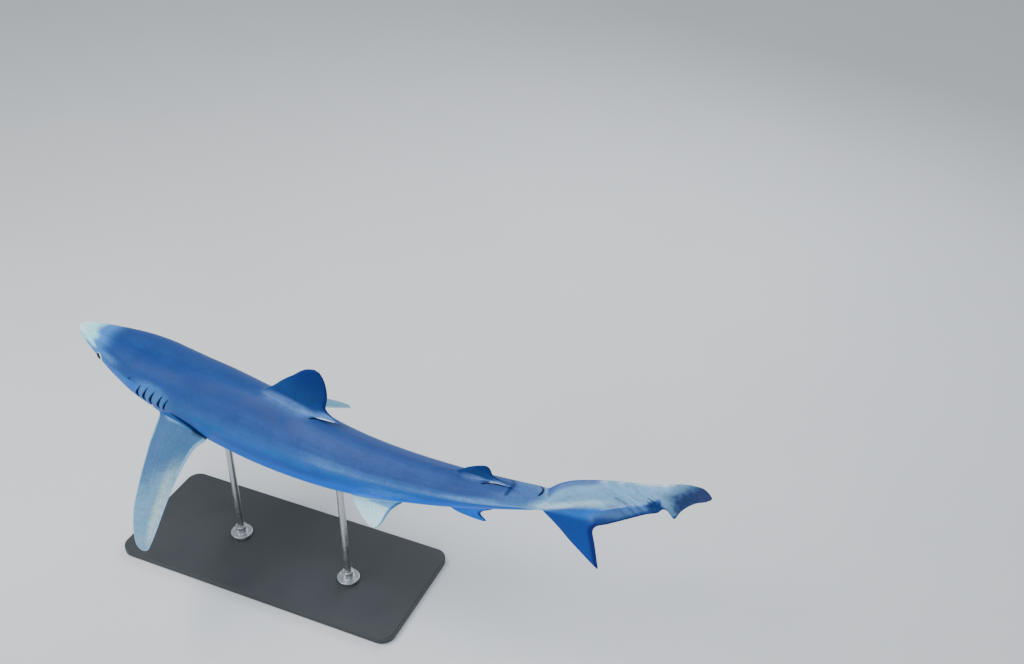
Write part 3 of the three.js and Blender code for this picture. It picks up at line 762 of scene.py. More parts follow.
def markings(v):  # where each colour lies, 0 to 1, from the place along, round and out from the body
    s, fin, span, chord = v["along"] * 1000, v["fin"], v["span"], v["chord"]
    high = np.degrees(np.arcsin(np.clip(v["girth"], -1, 1)))
    up = v["tailUp"] * 100
    body = fall(fin, 0.3, 1)
    lean = tail["lean"] * np.maximum(0, -up - tail["leanBelow"])
    row = s - np.where(s > tail["start"], lean, 0)
    one = dict(height=high / 90)
    one["rear"] = ease(s, 350, 1100)
    one["flow"] = chord * ease(fin, 0, 0.6)
    # head
    shift = curve([[-90, 60], [-20, 60], [-8, 20], [0, 2], [4, 8], [10, 20], [23, 22], [33, 2], [42, -2],
                   [50, 8], [60, 5], [70, -8], [80, -16], [90, -18]])(high)
    shift = mix(shift, -16, ease(-v["flank"], 0, 0.2) * ease(high, 25, 45))
    one["snout"] = fall(s - shift, 70, 128) * (1 - 0.8 * ease(-high, 22, 50))
    one["snoutCore"] = fall(s - shift, 20, 95) * ease(high, 5, 40)
    # painted shade on the underside of the snout
    one["snoutLow"] = between(s, 48, 80, 125, 150) * fall(high, 5, 26) * (high > -25) * body
    one["haze"] = fall(s - shift - 12 * ease(high, 55, 80) - 10 * bump(high, 36, 14), 98, 200)
    one["cheek"] = bump(high, 21, 20) * between(s, 150, 175, 195, 290) * body
    # painted shade on the underside of the head
    one["headLow"] = between(s, 110, 170, 330, 480) * fall(high, 1, 13) * ease(high, -48, -30) * body
    one["gillPatch"] = bump(s, 412, 120) * fall(np.abs(high - 5), 3, 33) * body
    # flank
    bandMiddle = curve([[500, 3], [700, 4], [1000, 11], [1200, 8], [1400, 3], [1550, -3], [1700, -2]])(s)
    bandStrength = curve([[470, 0], [580, 0.12], [850, 0.12], [950, 0.2], [1040, 0.42], [1150, 0.3],
                          [1350, 0.42], [1480, 0.85], [1560, 1], [1700, 1]])(s)
    aside = high - bandMiddle
    one["band"] = bandStrength \
        * np.exp(-(aside / np.where(aside > 0, mix(15, 22, ease(s, 1400, 1540)), 9)) ** 2) * body
    # a painted line of shade along the lower flank, where the body turns downward
    lineMiddle = curve([[560, -15], [1000, -14], [1180, -8], [1400, -8], [1550, -18], [1700, -15]])(s)
    lineStrength = curve([[620, 0], [740, 0.8], [1000, 0.9], [1080, 0.45], [1180, 0.08], [1300, 0.15],
                          [1500, 0.5], [1640, 0.8], [1700, 0.2]])(s)
    lineWidth = curve([[560, 10], [1000, 10], [1180, 5], [1700, 6]])(s)
    one["lowLine"] = lineStrength * np.exp(-((high - lineMiddle) / lineWidth) ** 2) * body
    # painted shade: the upper flank darkened to offset the key light's sheen there
    one["shoulder"] = bump(high, 52, 20) * between(s, 430, 560, 820, 1000) * body
    one["lowGlow"] = bump(s, 1215, 130) * bump(high, -17, 18) * body
    sideLine = curve([[300, 24], [700, 24], [1200, 27], [1600, 22]])(s)
    one["sideLine"] = np.exp(-((high - sideLine) / 2.6) ** 2) * between(s, 480, 700, 1480, 1600) * body
    one["stock"] = ease(s, 1465, 1570) * ease(high, -12, 8) * fall(s, 1655, 1700) \
        * (1 - 0.8 * ease(high, 38, 62) * fall(s, 1555, 1600))
    one["smudge"] = bump(s + 0.4 * (60 - high), 1557, 13) * ease(high, 28, 44)
    # tail
    atTop = tailTop(np.clip(row, tail["start"], tail["end"])) - up
    margin = up - tailBottom(np.clip(row, tail["start"], tail["end"]))
    tailZone = ease(s, 1640, 1664)
    paleFloor = curve([[1600, -24], [1705, -19], [1762, -11], [1820, 0], [1876, 27], [1913, 42], [1957, 70],
                       [1985, 96], [2000, 60], [2020, 40], [2128, 0]])(s)
    start = 1700 - 75 * ease(20 - high, -60, 25) - 25 * ease(high, 40, 80)
    # the upper lobe's own pale colour with painted glare on it, whitest at the lobe's base
    one["tailPale"] = ease(up - paleFloor, -12, 12) * ease(s - start, -55, 30) * (s > 1560)
    one["tailWhite"] = bump(up - paleFloor, 24, 28) * between(s, 1600, 1690, 1750, 1900)
    # where the tail's wrinkles are painted as shade and light
    one["wrinkled"] = ease(s, 1780, 1900) * (1 - 0.55 * ease(up - paleFloor, 0, 60)) \
        + 0.35 * ease(s, 1660, 1720) * (up > 0)
    one["tailTop"] = fall(atTop, 0, 20) * mix(1, 0.75, ease(v["flank"], -0.12, 0.12)) \
        * between(s, 1656, 1672, 1780, 1860)
    # painted highlights along the upper lobe's top edge
    crests = np.max([bump(s + 0.5 * atTop, middle, 24) for middle in (1779, 1822, 1871)]
                    + [0.9 * ease(s, 1885, 1925)], 0)
    one["ripple"] = fall(atTop, 1, 11) * crests * fall(s, 2010, 2040)
    one["web"] = fall(up - paleFloor, -14, 14) * between(s, 1720, 1870, 1990, 2002) \
        * ease(up, -95, -45)
    one["webDark"] = fall(margin, 2, mix(48, 25, ease(s, 1825, 1880))) * ease(row, 1784, 1806) \
        * fall(s, 1996, 2004) * tailZone
    lobeLine = up + 0.12 * (s - 1700) - 0.26 * np.maximum(0, s - 1750)
    one["lowerLobe"] = fall(lobeLine, -70, -24) * between(s, 1640, 1656, 1990, 2000)
    one["lobeTop"] = bump(lobeLine, -34, 34) * between(s, 1640, 1656, 1740, 1805)
    one["margin"] = fall(margin, 2, 9) * ease(row, 1800, 1815) * fall(s, 2005, 2018) * tailZone
    lobeRows = np.linspace(1751, 1806, 56)
    rearRow = np.interp(up, tailBottom(lobeRows), lobeRows)
    one["forkEdge"] = fall(rearRow - row, 4, 28) * fall(up, -66, -50) * tailZone
    # painted shade in the notch of the upper lobe
    one["patch"] = np.exp(-((s - 1976) / 27) ** 2 - ((up - 70 - 0.35 * (s - 1976)) / 20) ** 2)
    past = s - 2008 - 0.35 * np.maximum(0, 112 - up) - 0.85 * np.maximum(0, up - 120)
    one["lobeDark"] = np.maximum(np.clip((past + 42) / 84, 0, 1), fall(margin, 4, 20) * ease(s, 2022, 2034))
    one["tip"] = ease(s + 0.3 * (up - 150), 2072, 2112) * (1 - 0.5 * ease(up, 175, 195))
    # fins
    onD, second = v["dorsal"] * ease(fin, 0.3, 0.9), ease(s, 1200, 1250)
    darkFloor = curve([[740, 112], [781, 136], [838, 139], [893, 134], [935, 130], [1010, 132], [1300, 100],
                       [1395, 52], [1425, 62], [1465, 60], [1490, 57], [1520, 58]])(s)
    soft = mix(15, 7, second)
    one["dorsal"] = ease((up - darkFloor) / soft, -0.7, 1) * onD
    one["dorsalTop"] = v["dorsal"] * ease(span, 0.5, 0.95) * onD
    # painted light on the back round the dorsal fins' bases, and a painted highlight on the fins' pale rear
    # wedges
    glow = np.maximum(between(s, 735, 790, 905, 960), between(s, 1395, 1440, 1460, 1500))
    one["dorsalBase"] = ease(high, mix(52, 56, second), 88) ** 1.5 * (1 - one["dorsal"]) * glow
    one["dorsalWedge"] = onD * ease(chord, 0.5, 0.8) * (1 - one["dorsal"])
    one["rearEdge"] = onD * ease(chord, 0.88, 0.97) * ease(up - darkFloor, mix(-40, -14, second), 0)
    one["pectoral"] = v["pectoral"] * ease(fin, 0.3, 0.9)
    one["pectoralPale"] = v["pectoral"] * ease(span + 0.16 * (chord - 0.5), 0.48, 0.72) * ease(fin, 0.9, 1)
    one["pectoralCream"] = v["pectoral"] * bump(span, 0.73, 0.31) * bump(chord, 0.82, 0.3) \
        * ease(fin, 0.9, 1) * ease(v["flank"], -0.1, 0.1)
    one["pectoralCream"] = np.maximum(one["pectoralCream"], 0.2 * v["pectoral"] * ease(span, 0.72, 0.96))
    one["pectoralRoot"] = v["pectoral"] * ease(fin, 0.3, 0.8) * fall(span, 0.16, 0.27) * ease(chord, 0.1, 0.3)
    one["finEdge"] = v["pectoral"] * fall(np.minimum(chord * 1.5, 1 - chord), 0.02, 0.1) * ease(fin, 0.9, 1)
    one["speckled"] = v["pectoral"] * ease(fin, 0.9, 1) * ease(span, 0.3, 0.5)
    # the pelvic fins are painted near white as sunlight on their upper faces, with painted shade of the body
    # at their base
    one["pelvic"] = v["pelvic"] * ease(fin, 0.3, 0.9)
    one["pelvicBase"] = v["pelvic"] * fall(span - 0.1 * chord, 0.4, 0.47) * ease(chord, 0.15, 0.5) \
        * ease(fin, 0.5, 1)
    one["anal"] = v["anal"] * ease(fin, 0.3, 0.9)
    one["analEdge"] = v["anal"] * ease(chord, 0.78, 0.95) * ease(fin, 0.6, 1)
    one["pelvicEdge"] = v["pelvic"] * ease(chord, 0.88, 0.97) * ease(fin, 0.9, 1) * (1 - 0.5 * v["underFin"])
    one["under"] = (v["pectoral"] + v["pelvic"]) * v["underFin"] * ease(fin, 0.5, 1)
    return one


skinValues.update(markings(skinValues))
shark = newPiece("shark_skin", np.vstack(skinPoints), skinFaces, skinValues)
used = bmesh.new()
used.from_mesh(shark.data)
bmesh.ops.delete(used, geom=[v for v in used.verts if not v.link_faces], context="VERTS")
openEdges = sum(1 for e in used.edges if len(e.link_faces) != 2)
used.to_mesh(shark.data)
used.free()
triangles = sum(len(face.vertices) - 2 for face in shark.data.polygons)
print("skin:", triangles, "triangles,", openEdges, "open edges")


# Eyes

def makeEye(side):
    middle, outward = eyeMiddle(side), eyeOutward(side)
    _, along, _, upward = spineFrame(float(eye["station"]))
    rings, turns = 28, 40
    points, polar = [middle + outward * (eye["radius"] - 0.2)], [0.0]
    for r in range(1, rings):
        a = math.pi * r / rings
        bulge = 0.5 * math.exp(-(a / 0.45) ** 2)
        for k in range(turns):
            b = 2 * math.pi * k / turns
            direction = outward * math.cos(a) + (along * math.cos(b) + upward * math.sin(b)) * math.sin(a)
            points.append(middle + direction * (eye["radius"] - 0.3 + bulge))
            polar.append(a)
    points.append(middle - outward * (eye["radius"] - 0.3))
    polar.append(math.pi)
    faces = [(0, 1 + k, 1 + (k + 1) % turns) for k in range(turns)]
    faces += ringFaces(numbered(rings - 1, turns, 1))
    last = len(points) - 1
    faces += [(last, last - turns + (k + 1) % turns, last - turns + k) for k in range(turns)]
    return newPiece("eye_ball_" + ("left" if side > 0 else "right"), points, faces, {"polar": polar})


eyes = {side: makeEye(side) for side in (1, -1)}


# The stand's rods and collars are turned again with finer steps and softened edges.
stand = {
    "rodRadius": 11.0, "intoBody": 8.0, "collarRadius": 36.0, "flange": 12.0,
    "neckRadius": 18.0, "neck": 26.0, "bore": 11.4, "soften": 1.6, "turnSteps": 72,
    "screwCount": 4, "screwCircle": 27.0, "screwRadius": 3.6, "keyRadius": 1.6, "screwTwist": 1.05,
}


def softened(profile, size, steps=4):  # each inner corner of a profile becomes a small arc
    points = [np.array(profile[0], float)]
    for before, corner, after in zip(profile, profile[1:], profile[2:]):
        before, corner, after = [np.array(p, float) for p in (before, corner, after)]
        ways = [before - corner, after - corner]
        ways = [w / np.linalg.norm(w) * min(size, np.linalg.norm(w) / 3) for w in ways]
        points.append(corner + 1.3 * ways[0])
        for t in np.linspace(0, 1, steps + 1):
            points.append(corner + ways[0] * (1 - t) ** 2 + ways[1] * t ** 2)
        points.append(corner + 1.3 * ways[1])
    return points + [np.array(profile[-1], float)]


def turnedPiece(name, profile, middle, closed=False):
    steps = stand["turnSteps"]
    walked = np.concatenate([[0], np.cumsum([np.hypot(*(b - a)) for a, b in zip(profile, profile[1:])])])
    around = 2 * math.pi * np.arange(steps) / steps
    points, along = [], []
    for (radius, height), distance in zip(profile, walked):
        for turn in around:
            points.append((middle[0] + radius * math.cos(turn), middle[1] + radius * math.sin(turn), height))
        along += [distance] * steps
    rings = numbered(len(profile), steps)
    faces = ringFaces(rings, closed)
    if not closed:
        faces += [tuple(rings[0]), tuple(rings[-1])]
    return newPiece(name, points, faces, {"lathe": along})


standPieces = {}
collarTops = []
for end in ("front", "rear"):
    low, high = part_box("stand_rod_" + end)
    middle = [(low.x + high.x) / 2 / mm, (low.y + high.y) / 2 / mm]
    foot, top = low.z / mm, high.z / mm + stand["intoBody"]
    r = stand["rodRadius"]
    rod = softened([(0.5, foot), (r, foot), (r, top), (0.5, top)], stand["soften"])
    standPieces["stand_rod_" + end] = turnedPiece("turned_rod_" + end, rod, middle)
    outer, neck, bore = stand["collarRadius"], stand["neckRadius"], stand["bore"]
    step, rim = foot + stand["flange"], foot + stand["flange"] + stand["neck"]
    ring = softened([(bore, foot + 2), (bore, foot), (outer, foot), (outer, step), (neck, step),
                     (neck, rim), (bore, rim), (bore, foot + 4)], stand["soften"])
    standPieces["stand_collar_" + end] = turnedPiece("turned_collar_" + end, ring, middle, closed=True)
    collarTops.append((middle[0] * mm, middle[1] * mm, (step - 0.1) * mm))
print("stand turned")


def screwHead():  # button head with a six-sided key hole
    steps, r, key = 24, stand["screwRadius"], stand["keyRadius"]
    rings = [(r, 0, 0), (r, 0.5, 0), (0.93 * r, 1.2, 0), (0.78 * r, 1.75, 0), (0.6 * r, 2.05, 0),
             (key + 0.2, 2.15, 1), (key, 2.0, 1), (key, 0.8, 1), (0.3, 0.5, 0)]
    points, along = [], []
    for k, (radius, height, sided) in enumerate(rings):
        for turn in 2 * math.pi * np.arange(steps) / steps:
            off = (turn + math.pi / 6) % (math.pi / 3) - math.pi / 6
            reach = radius * 0.87 / math.cos(off) if sided else radius
            points.append((reach * math.cos(turn), reach * math.sin(turn), height))
        along += [k * 0.8] * steps
    loops = numbered(len(rings), steps)
    faces = ringFaces(loops) + [tuple(loops[0]), tuple(loops[-1])]
    return newPiece("stand_screws", points, faces, {"lathe": along})


# Materials

def setInputs(node, inputs):  # a link, or a constant on the node's own socket
    for socket, value in inputs.items():
        if isinstance(value, bpy.types.NodeSocket):
            node.id_data.links.new(value, node.inputs[socket])
        else:
            node.inputs[socket].default_value = value


def nodeAdder(tree, prefix="ShaderNode"):  # gives the function that adds a node to this tree
    def add(kind, inputs=None, out=0, **settings):  # gives the node's output, or for None the node
        node = tree.nodes.new(prefix + kind)
        for key, value in settings.items():
            setattr(node, key, value)
        setInputs(node, inputs or {})
        return node if out is None else node.outputs[out]
    return add


def fillRamp(ramp, stops):  # stops: position and colour
    elements = ramp.color_ramp.elements
    while len(elements) < len(stops):
        elements.new(0.5)
    for element, (position, code) in zip(elements, stops):
        element.position, element.color = position, linear(code)
    return ramp.outputs[0]


def newMaterial(name):
    material = bpy.data.materials.new(name)
    material.use_nodes = True
    tree = material.node_tree
    return material, tree.nodes["Principled BSDF"], nodeAdder(tree)


# colours of the back, from the belly's middle (0) to the ridge of the back (1)
backFront = [[0.0, "#dde6ea"], [0.13, "#d3e1ea"], [0.17, "#5c9bd6"], [0.3, "#2068b4"], [0.44, "#3d639f"],
             [0.5, "#275995"], [0.58, "#2b4c87"], [0.68, "#1d4382"], [0.9, "#113b7b"], [1.0, "#193f7c"]]
backRear = [[0.0, "#dde6ea"], [0.13, "#d3e1ea"], [0.17, "#5c9bd6"], [0.3, "#096fe9"], [0.44, "#0659b8"],
            [0.49, "#1e60b1"], [0.52, "#2a5ba6"], [0.66, "#324f8b"], [0.85, "#32508d"], [1.0, "#22407a"]]
# each marking: its colour, where its edge lies, how ragged the edge is, and its strength
skinMarks = [
    ["sideLine", "#234077", 0.0, 1.0, 0.1, 0.22],
    # painted shade under the head
    ["headLow", "#196dce", 0.0, 1.0, 0.1, 0.7],
    ["band", "#6ea6e0", 0.0, 1.0, 0.15, 0.9],
    # painted shade along the lower flank
    ["lowLine", "#124e9d", 0.0, 1.0, 0.1, 0.8],
    ["lowGlow", "#4c93dc", 0.0, 1.0, 0.2, 0.35],
    ["gillPatch", "#4177b5", 0.1, 0.9, 0.15, 0.75],
    ["cheek", "#4f86c4", 0.0, 1.0, 0.2, 0.6],
    ["haze", "#4483c7", 0.0, 1.0, 0.15, 0.8],
    ["snout", "#96e2ef", 0.05, 0.95, 0.15, 1.0],
    ["snoutCore", "#d6f6f2", 0.1, 1.0, 0.7, 0.9],
    # painted shade under the snout
    ["snoutLow", "#3b80c4", 0.0, 1.0, 0.2, 0.8],
    # painted shade against the key light's sheen on the upper flank
    ["shoulder", "#033576", 0.0, 1.0, 0.2, 0.85],
    ["stock", "#466ea9", 0.0, 1.0, 0.1, 0.85],
    ["smudge", "#183064", 0.2, 0.9, 0.2, 0.85],
    # the tail's own pale colour with painted glare
    ["tailPale", "#7fb0d6", 0.0, 1.0, 0.25, 1.0],
    ["tailWhite", "#c8efff", 0.0, 1.0, 0.3, 0.9],
    ["lobeTop", "#2473c8", 0.0, 0.9, 0.2, 0.85],
    ["lowerLobe", "#034093", 0.1, 0.9, 0.2, 1.0],
    ["web", "#44699d", 0.1, 1.0, 0.35, 0.95],
    # painted highlights on the tail's top edge
    ["ripple", "#bccfdb", 0.3, 1.0, 0.5, 0.7],
    ["lobeDark", "#001650", 0.0, 1.0, 0.35, 0.95],
    ["tip", "#2b3763", 0.0, 1.0, 0.3, 0.85],
    ["webDark", "#0a2f74", 0.05, 0.95, 0.3, 0.9],
    # painted shade in the tail's notch
    ["patch", "#0a2b66", 0.15, 0.85, 0.9, 1.0],
    ["margin", "#06225a", 0.2, 0.8, 0.2, 0.95],
    ["forkEdge", "#021b68", 0.1, 0.9, 0.15, 1.0],
    ["tailTop", "#1a478f", 0.0, 1.0, 0.3, 0.9],
    # painted light by the dorsal fins' bases and a painted highlight on their rear wedges
    ["dorsalBase", "#638cc6", 0.0, 1.0, 0.2, 0.65],
    ["dorsalWedge", "#5e8ecf", 0.0, 1.0, 0.2, 0.7],
    ["dorsal", "#113a73", 0.0, 1.0, 0.2, 1.0],
    ["dorsalTop", "#032567", 0.1, 1.0, 0.15, 0.9],
    ["rearEdge", "#021a58", 0.2, 0.9, 0.1, 0.8],
    ["pectoral", "#3c6691", 0.1, 0.9, 0.1, 1.0],
    ["pectoralPale", "#6390ae", 0.0, 1.0, 0.35, 1.0],
    ["pectoralCream", "#b4ccc6", 0.0, 1.0, 0.45, 0.6],
    ["pectoralRoot", "#75a8cf", 0.0, 1.0, 0.2, 0.9],
    ["finEdge", "#97c5df", 0.1, 0.9, 0.2, 0.6],
    # pelvic fins painted near white as sunlit, with painted shade at their base
    ["pelvic", "#c1efef", 0.1, 0.9, 0.1, 1.0],
    ["pelvicBase", "#61a4d5", 0.3, 0.7, 0.25, 0.8],
    ["pelvicEdge", "#2f6daa", 0.2, 0.9, 0.2, 0.85],
    ["anal", "#0669d7", 0.1, 0.9, 0.1, 1.0],
    ["analEdge", "#05205e", 0.2, 0.9, 0.1, 0.85],
    ["under", "#dfe7e8", 0.2, 0.8, 0.1, 1.0],
    # painted highlights on the gill slits' lower lips
    ["lipGleam", "#eef7fb", 0.15, 0.5, 0.0, 0.95],
    ["lid", "#d6e8f0", 0.2, 0.7, 0.0, 0.95],
    # painted shade inside the gill slits
    ["slit", "#04174a", 0.2, 0.55, 0.1, 1.0],
    # painted shade in the mouth, the nostrils, the notches before the tail and the eye sockets
    ["hollowShade", "#030e31", 0.2, 0.8, 0.1, 0.95],
]
# fine lines and spots: colour, strength, then points by station, left, up and half width
strokes = [
    ["#1d3f7c", 0.35, [(676, 48, 106, 1.2), (692, 47, 107, 2), (706, 47, 107, 1.2)]],
    # painted shadow in the gap behind the left pectoral fin
    ["#021238", 0.95, [(490, 112.5, -32, 2), (509, 111.9, -35, 4.5), (528, 111, -38, 7.5),
                       (547, 109, -43.5, 10), (565, 106.5, -49.5, 12.5), (581, 103, -57, 13),
                       (598, 99.5, -62, 9.5), (614, 95, -68, 6.5), (627, 90, -74, 4.5)]],
    # painted highlight on the edge of the first dorsal fin's rear tip, then painted shade in the crease
    # beneath it
    ["#c9def0", 0.75, [(953, 11, 112, 1), (968, 9, 114, 2.2), (990, 7, 115, 2.2), (1012, 5, 115, 1)]],
    ["#010a2e", 0.95, [(935, 19, 106, 2.4), (940, 16, 106, 3.6), (951, 9, 106, 2), (975, 2, 104, 1.8),
                       (997, -7, 100, 1.8), (1019, -17, 95, 1.5)]],
    # the same painted highlight and painted crease shade at the second dorsal fin's rear tip
    ["#d4e6f5", 0.85, [(1490, 12, 49, 1), (1503, 11, 49, 2.4), (1524, 12, 49, 2.4), (1543, 15, 50, 1)]],
    ["#010a2e", 0.95, [(1473, 21, 43, 1.5), (1480, 18, 45, 3), (1491, 15, 46, 1.6), (1511, 13, 45, 1.5),
                       (1534, 13, 44, 1.5), (1560, 19, 48, 2)]],
    ["#132c5c", 0.9, [(314, 112.5, 15, 3.4), (319, 113, 16, 3.4)]],
    # painted shade in the crease at the rear of the left pelvic fin
    ["#23406f", 0.5, [(1190, 60, -57, 1.5), (1206, 62, -52, 2)]],
]
# lines on the tail: colour, strength, then points by station, height and half width
tailStrokes = [
    ["#a9c6dc", 0.55, [(1814, -7, 0.6), (1832, 3, 1.4), (1852, 15, 2.2), (1875, 27, 2.4), (1899, 42, 2.2),
                       (1918, 55, 1)]],
    # dark slanting lines: painted shade in the creases of the tail's wrinkles
    ["#3c5f95", 0.7, [(1860, 62, 1.4), (1866, 60, 2.2), (1876, 57, 0.9)]],
    ["#456a9c", 0.65, [(1880, 54, 0.8), (1890, 48, 1.8), (1908, 41, 1.4)]],
    ["#3f6294", 0.4, [(1838, 88, 0.8), (1856, 74, 1.6), (1880, 66, 0.8)]],
    ["#3f6294", 0.35, [(1894, 84, 0.8), (1916, 74, 1.8), (1938, 70, 0.8)]],
    ["#2c5088", 0.6, [(1868, 22, 0.8), (1880, 14, 2), (1896, 2, 1)]],
    ["#2c5088", 0.6, [(1892, 38, 0.8), (1906, 31, 2.2), (1926, 18, 1)]],
    ["#274b84", 0.65, [(1914, 52, 0.8), (1930, 43, 2.4), (1950, 33, 1)]],
    ["#1e4079", 0.7, [(1938, 64, 0.8), (1952, 57, 2.4), (1972, 47, 1)]],
    # the next three: painted light on the wrinkles' ridges
    ["#7fa2c6", 0.15, [(1884, 30, 0.8), (1898, 20, 1.8), (1914, 9, 0.8)]],
    ["#7fa2c6", 0.15, [(1906, 44, 0.8), (1922, 32, 1.8), (1938, 24, 0.8)]],
    ["#7fa2c6", 0.15, [(1930, 56, 0.8), (1944, 48, 1.8), (1960, 40, 0.8)]],
    ["#47699a", 0.55, [(2012, 82, 3), (2022, 64, 7), (2030, 50, 8)]],
    # spikes of the notch's painted shade
    ["#0a2a66", 0.8, [(1948, 78, 1), (1960, 72, 3), (1972, 66, 4)]],
    ["#0a2a66", 0.8, [(1952, 92, 1), (1966, 84, 3), (1978, 76, 4)]],
]


def strokeCover(add, coords, points):  # a tapering line through the points, 1 inside and soft at its edge
    cover = 0.0
    for (start, thin), (end, wide) in zip(points, points[1:]):
        way = end - start
        scaled = way / way.length_squared
        t = add("VectorMath", {0: coords, 1: tuple(scaled)}, operation="DOT_PRODUCT", out=1)
        t = add("Math", {0: t, 1: start.dot(scaled)}, operation="SUBTRACT", use_clamp=True)
        near = add("VectorMath", {0: tuple(way), 1: t, 2: tuple(start)}, operation="MULTIPLY_ADD")
        away = add("VectorMath", {0: coords, 1: near}, operation="DISTANCE", out=1)
        half = add("Math", {0: t, 1: wide - thin, 2: thin}, operation="MULTIPLY_ADD")
        ratio = add("Math", {0: away, 1: half}, operation="DIVIDE")
        inside = add("MapRange", {0: ratio, 1: 0.6, 2: 1.5, 3: 1.0, 4: 0.0}, interpolation_type="SMOOTHSTEP")
        cover = add("Math", {0: inside, 1: cover}, operation="MAXIMUM")
    return cover


def paintSkin():  # shark skin: matt, faintly wet, with a fine tooth from the scales
    material, shader, add = newMaterial("shark_skin")
    field = lambda name: add("Attribute", attribute_name=name, out="Fac")
    place3d = add("TexCoord", out="Object")
    # clouds of 50 mm, mottling of 9 mm, and streaks that run along the body and out along the fins
    clouds = add("TexNoise", {"Vector": place3d, "Scale": 20, "Detail": 4}, out="Fac")
    mottle = add("TexNoise", {"Vector": place3d, "Scale": 110, "Detail": 3}, out="Fac")
    flow = add("CombineXYZ", {"X": field("along"), "Y": field("height"), "Z": field("flow")})
    stretched = add("Mapping", {"Vector": flow, "Scale": (9, 16, 18)})
    streaks = add("TexNoise", {"Vector": stretched, "Scale": 1, "Detail": 5, "Roughness": 0.6}, out="Fac")
    # the tail's wrinkles slant down and back, 7 mm apart; they are not in the mesh but painted, as shade in
    # their creases and light on their ridges
    onTail = add("Math", {0: field("along"), 1: 10.0}, operation="MULTIPLY")
    tailPlace = add("CombineXYZ", {"X": onTail, "Y": field("tailUp")})
    onTail = add("Mapping", {"Vector": tailPlace, "Rotation": (0, 0, -0.5), "Scale": (0.75, 0.17, 1)},
                 vector_type="TEXTURE")
    wrinkles = add("TexNoise", {"Vector": onTail, "Scale": 1, "Detail": 4, "Roughness": 0.65}, out="Fac")
    wrinkled = field("wrinkled")
    slant = add("Math", {0: wrinkles, 1: 0.5}, operation="SUBTRACT")
    slant = add("Math", {0: slant, 1: wrinkled}, operation="MULTIPLY")
    ragged = add("Math", {0: clouds, 1: mottle}, operation="ADD")
    ragged = add("Math", {0: ragged, 1: slant}, operation="ADD")
    ragged = add("Math", {0: streaks, 1: 0.6, 2: ragged}, operation="MULTIPLY_ADD")
    ragged = add("Math", {0: ragged, 1: 1.3}, operation="SUBTRACT")

    height = add("MapRange", {0: field("height"), 1: -1.0, 2: 1.0})
    height = add("Math", {0: ragged, 1: 0.025, 2: height}, operation="MULTIPLY_ADD")
    ramps = []
    for stops in (backFront, backRear):
        ramps.append(fillRamp(add("ValToRGB", {0: height}, out=None), stops))
    colour = add("Mix", {0: field("rear"), 6: ramps[0], 7: ramps[1]}, data_type="RGBA", out=2)
    for name, code, low, high, wobble, strength in skinMarks:
        sway = add("Math", {0: ragged, 1: 2 * wobble, 2: 1.0}, operation="MULTIPLY_ADD")
        edge = add("Math", {0: sway, 1: field(name)}, operation="MULTIPLY")
        cover = add("MapRange", {0: edge, 1: low, 2: high, 4: strength}, interpolation_type="SMOOTHSTEP")
        colour = add("Mix", {0: cover, 6: colour, 7: linear(code)}, data_type="RGBA", out=2)
    lines = [(code, strength, place3d, [(Vector(place(*map(float, p[:3]))) * mm, p[3] * mm) for p in points])
             for code, strength, points in strokes]
    lines += [(code, strength, tailPlace, [(Vector((p[0] / 100, p[1] / 100, 0)), p[2] / 100) for p in points])
              for code, strength, points in tailStrokes]
    for code, strength, coords, points in lines:
        cover = strokeCover(add, coords, points)
        cover = add("Math", {0: cover, 1: strength}, operation="MULTIPLY")
        colour = add("Mix", {0: cover, 6: colour, 7: linear(code)}, data_type="RGBA", out=2)
    # small dark specks on the pectoral fins, about one in each 30 mm
    cells = add("TexVoronoi", {"Vector": place3d, "Scale": 48}, feature="F1", out=None)
    speck = add("MapRange", {0: cells.outputs["Distance"], 1: 0.06, 2: 0.13, 3: 1.0, 4: 0.0})
    chosen = add("Math", {0: cells.outputs["Color"], 1: 0.52}, operation="GREATER_THAN")
    speck = add("Math", {0: speck, 1: chosen}, operation="MULTIPLY")
    speck = add("Math", {0: speck, 1: field("speckled")}, operation="MULTIPLY")
    speck = add("Math", {0: speck, 1: 0.55}, operation="MULTIPLY")
    colour = add("Mix", {0: speck, 6: colour, 7: linear("#27476b")}, data_type="RGBA", out=2)
    # light and dark flecks, then the broader unevenness of live skin
    tone = add("MapRange", {0: streaks, 1: 0.3, 2: 0.7, 3: 0.93, 4: 1.07})
    fleck = add("MapRange", {0: mottle, 1: 0.3, 2: 0.7, 3: 0.93, 4: 1.07})
    tone = add("Math", {0: tone, 1: fleck}, operation="MULTIPLY")
    broad = add("MapRange", {0: clouds, 1: 0.3, 2: 0.7, 3: 0.92, 4: 1.08})
    tone = add("Math", {0: tone, 1: broad}, operation="MULTIPLY")
    # painted shade in the wrinkles' creases and painted light on their ridges
    crease = add("MapRange", {0: wrinkles, 1: 0.32, 2: 0.62, 3: 0.7, 4: 1.12})
    crease = add("Mix", {0: wrinkled, 2: 1.0, 3: crease})
    tone = add("Math", {0: tone, 1: crease}, operation="MULTIPLY")
    colour = add("Mix", {0: 1.0, 6: colour, 7: tone}, data_type="RGBA", blend_type="MULTIPLY", out=2)
    # some of the skin is more violet and some greener
    tint = add("TexNoise", {"Vector": place3d, "Scale": 34, "Detail": 3}, out="Fac")
    tint = add("MapRange", {0: tint, 1: 0.35, 2: 0.65})
    tint = add("Mix", {0: tint, 6: (0.9, 1.02, 0.98, 1), 7: (1.1, 0.97, 1.02, 1)}, data_type="RGBA", out=2)
    colour = add("Mix", {0: 1.0, 6: colour, 7: tint}, data_type="RGBA", blend_type="MULTIPLY", out=2)
    gloss = add("MapRange", {0: clouds, 1: 0.3, 2: 0.7, 3: 0.4, 4: 0.52})
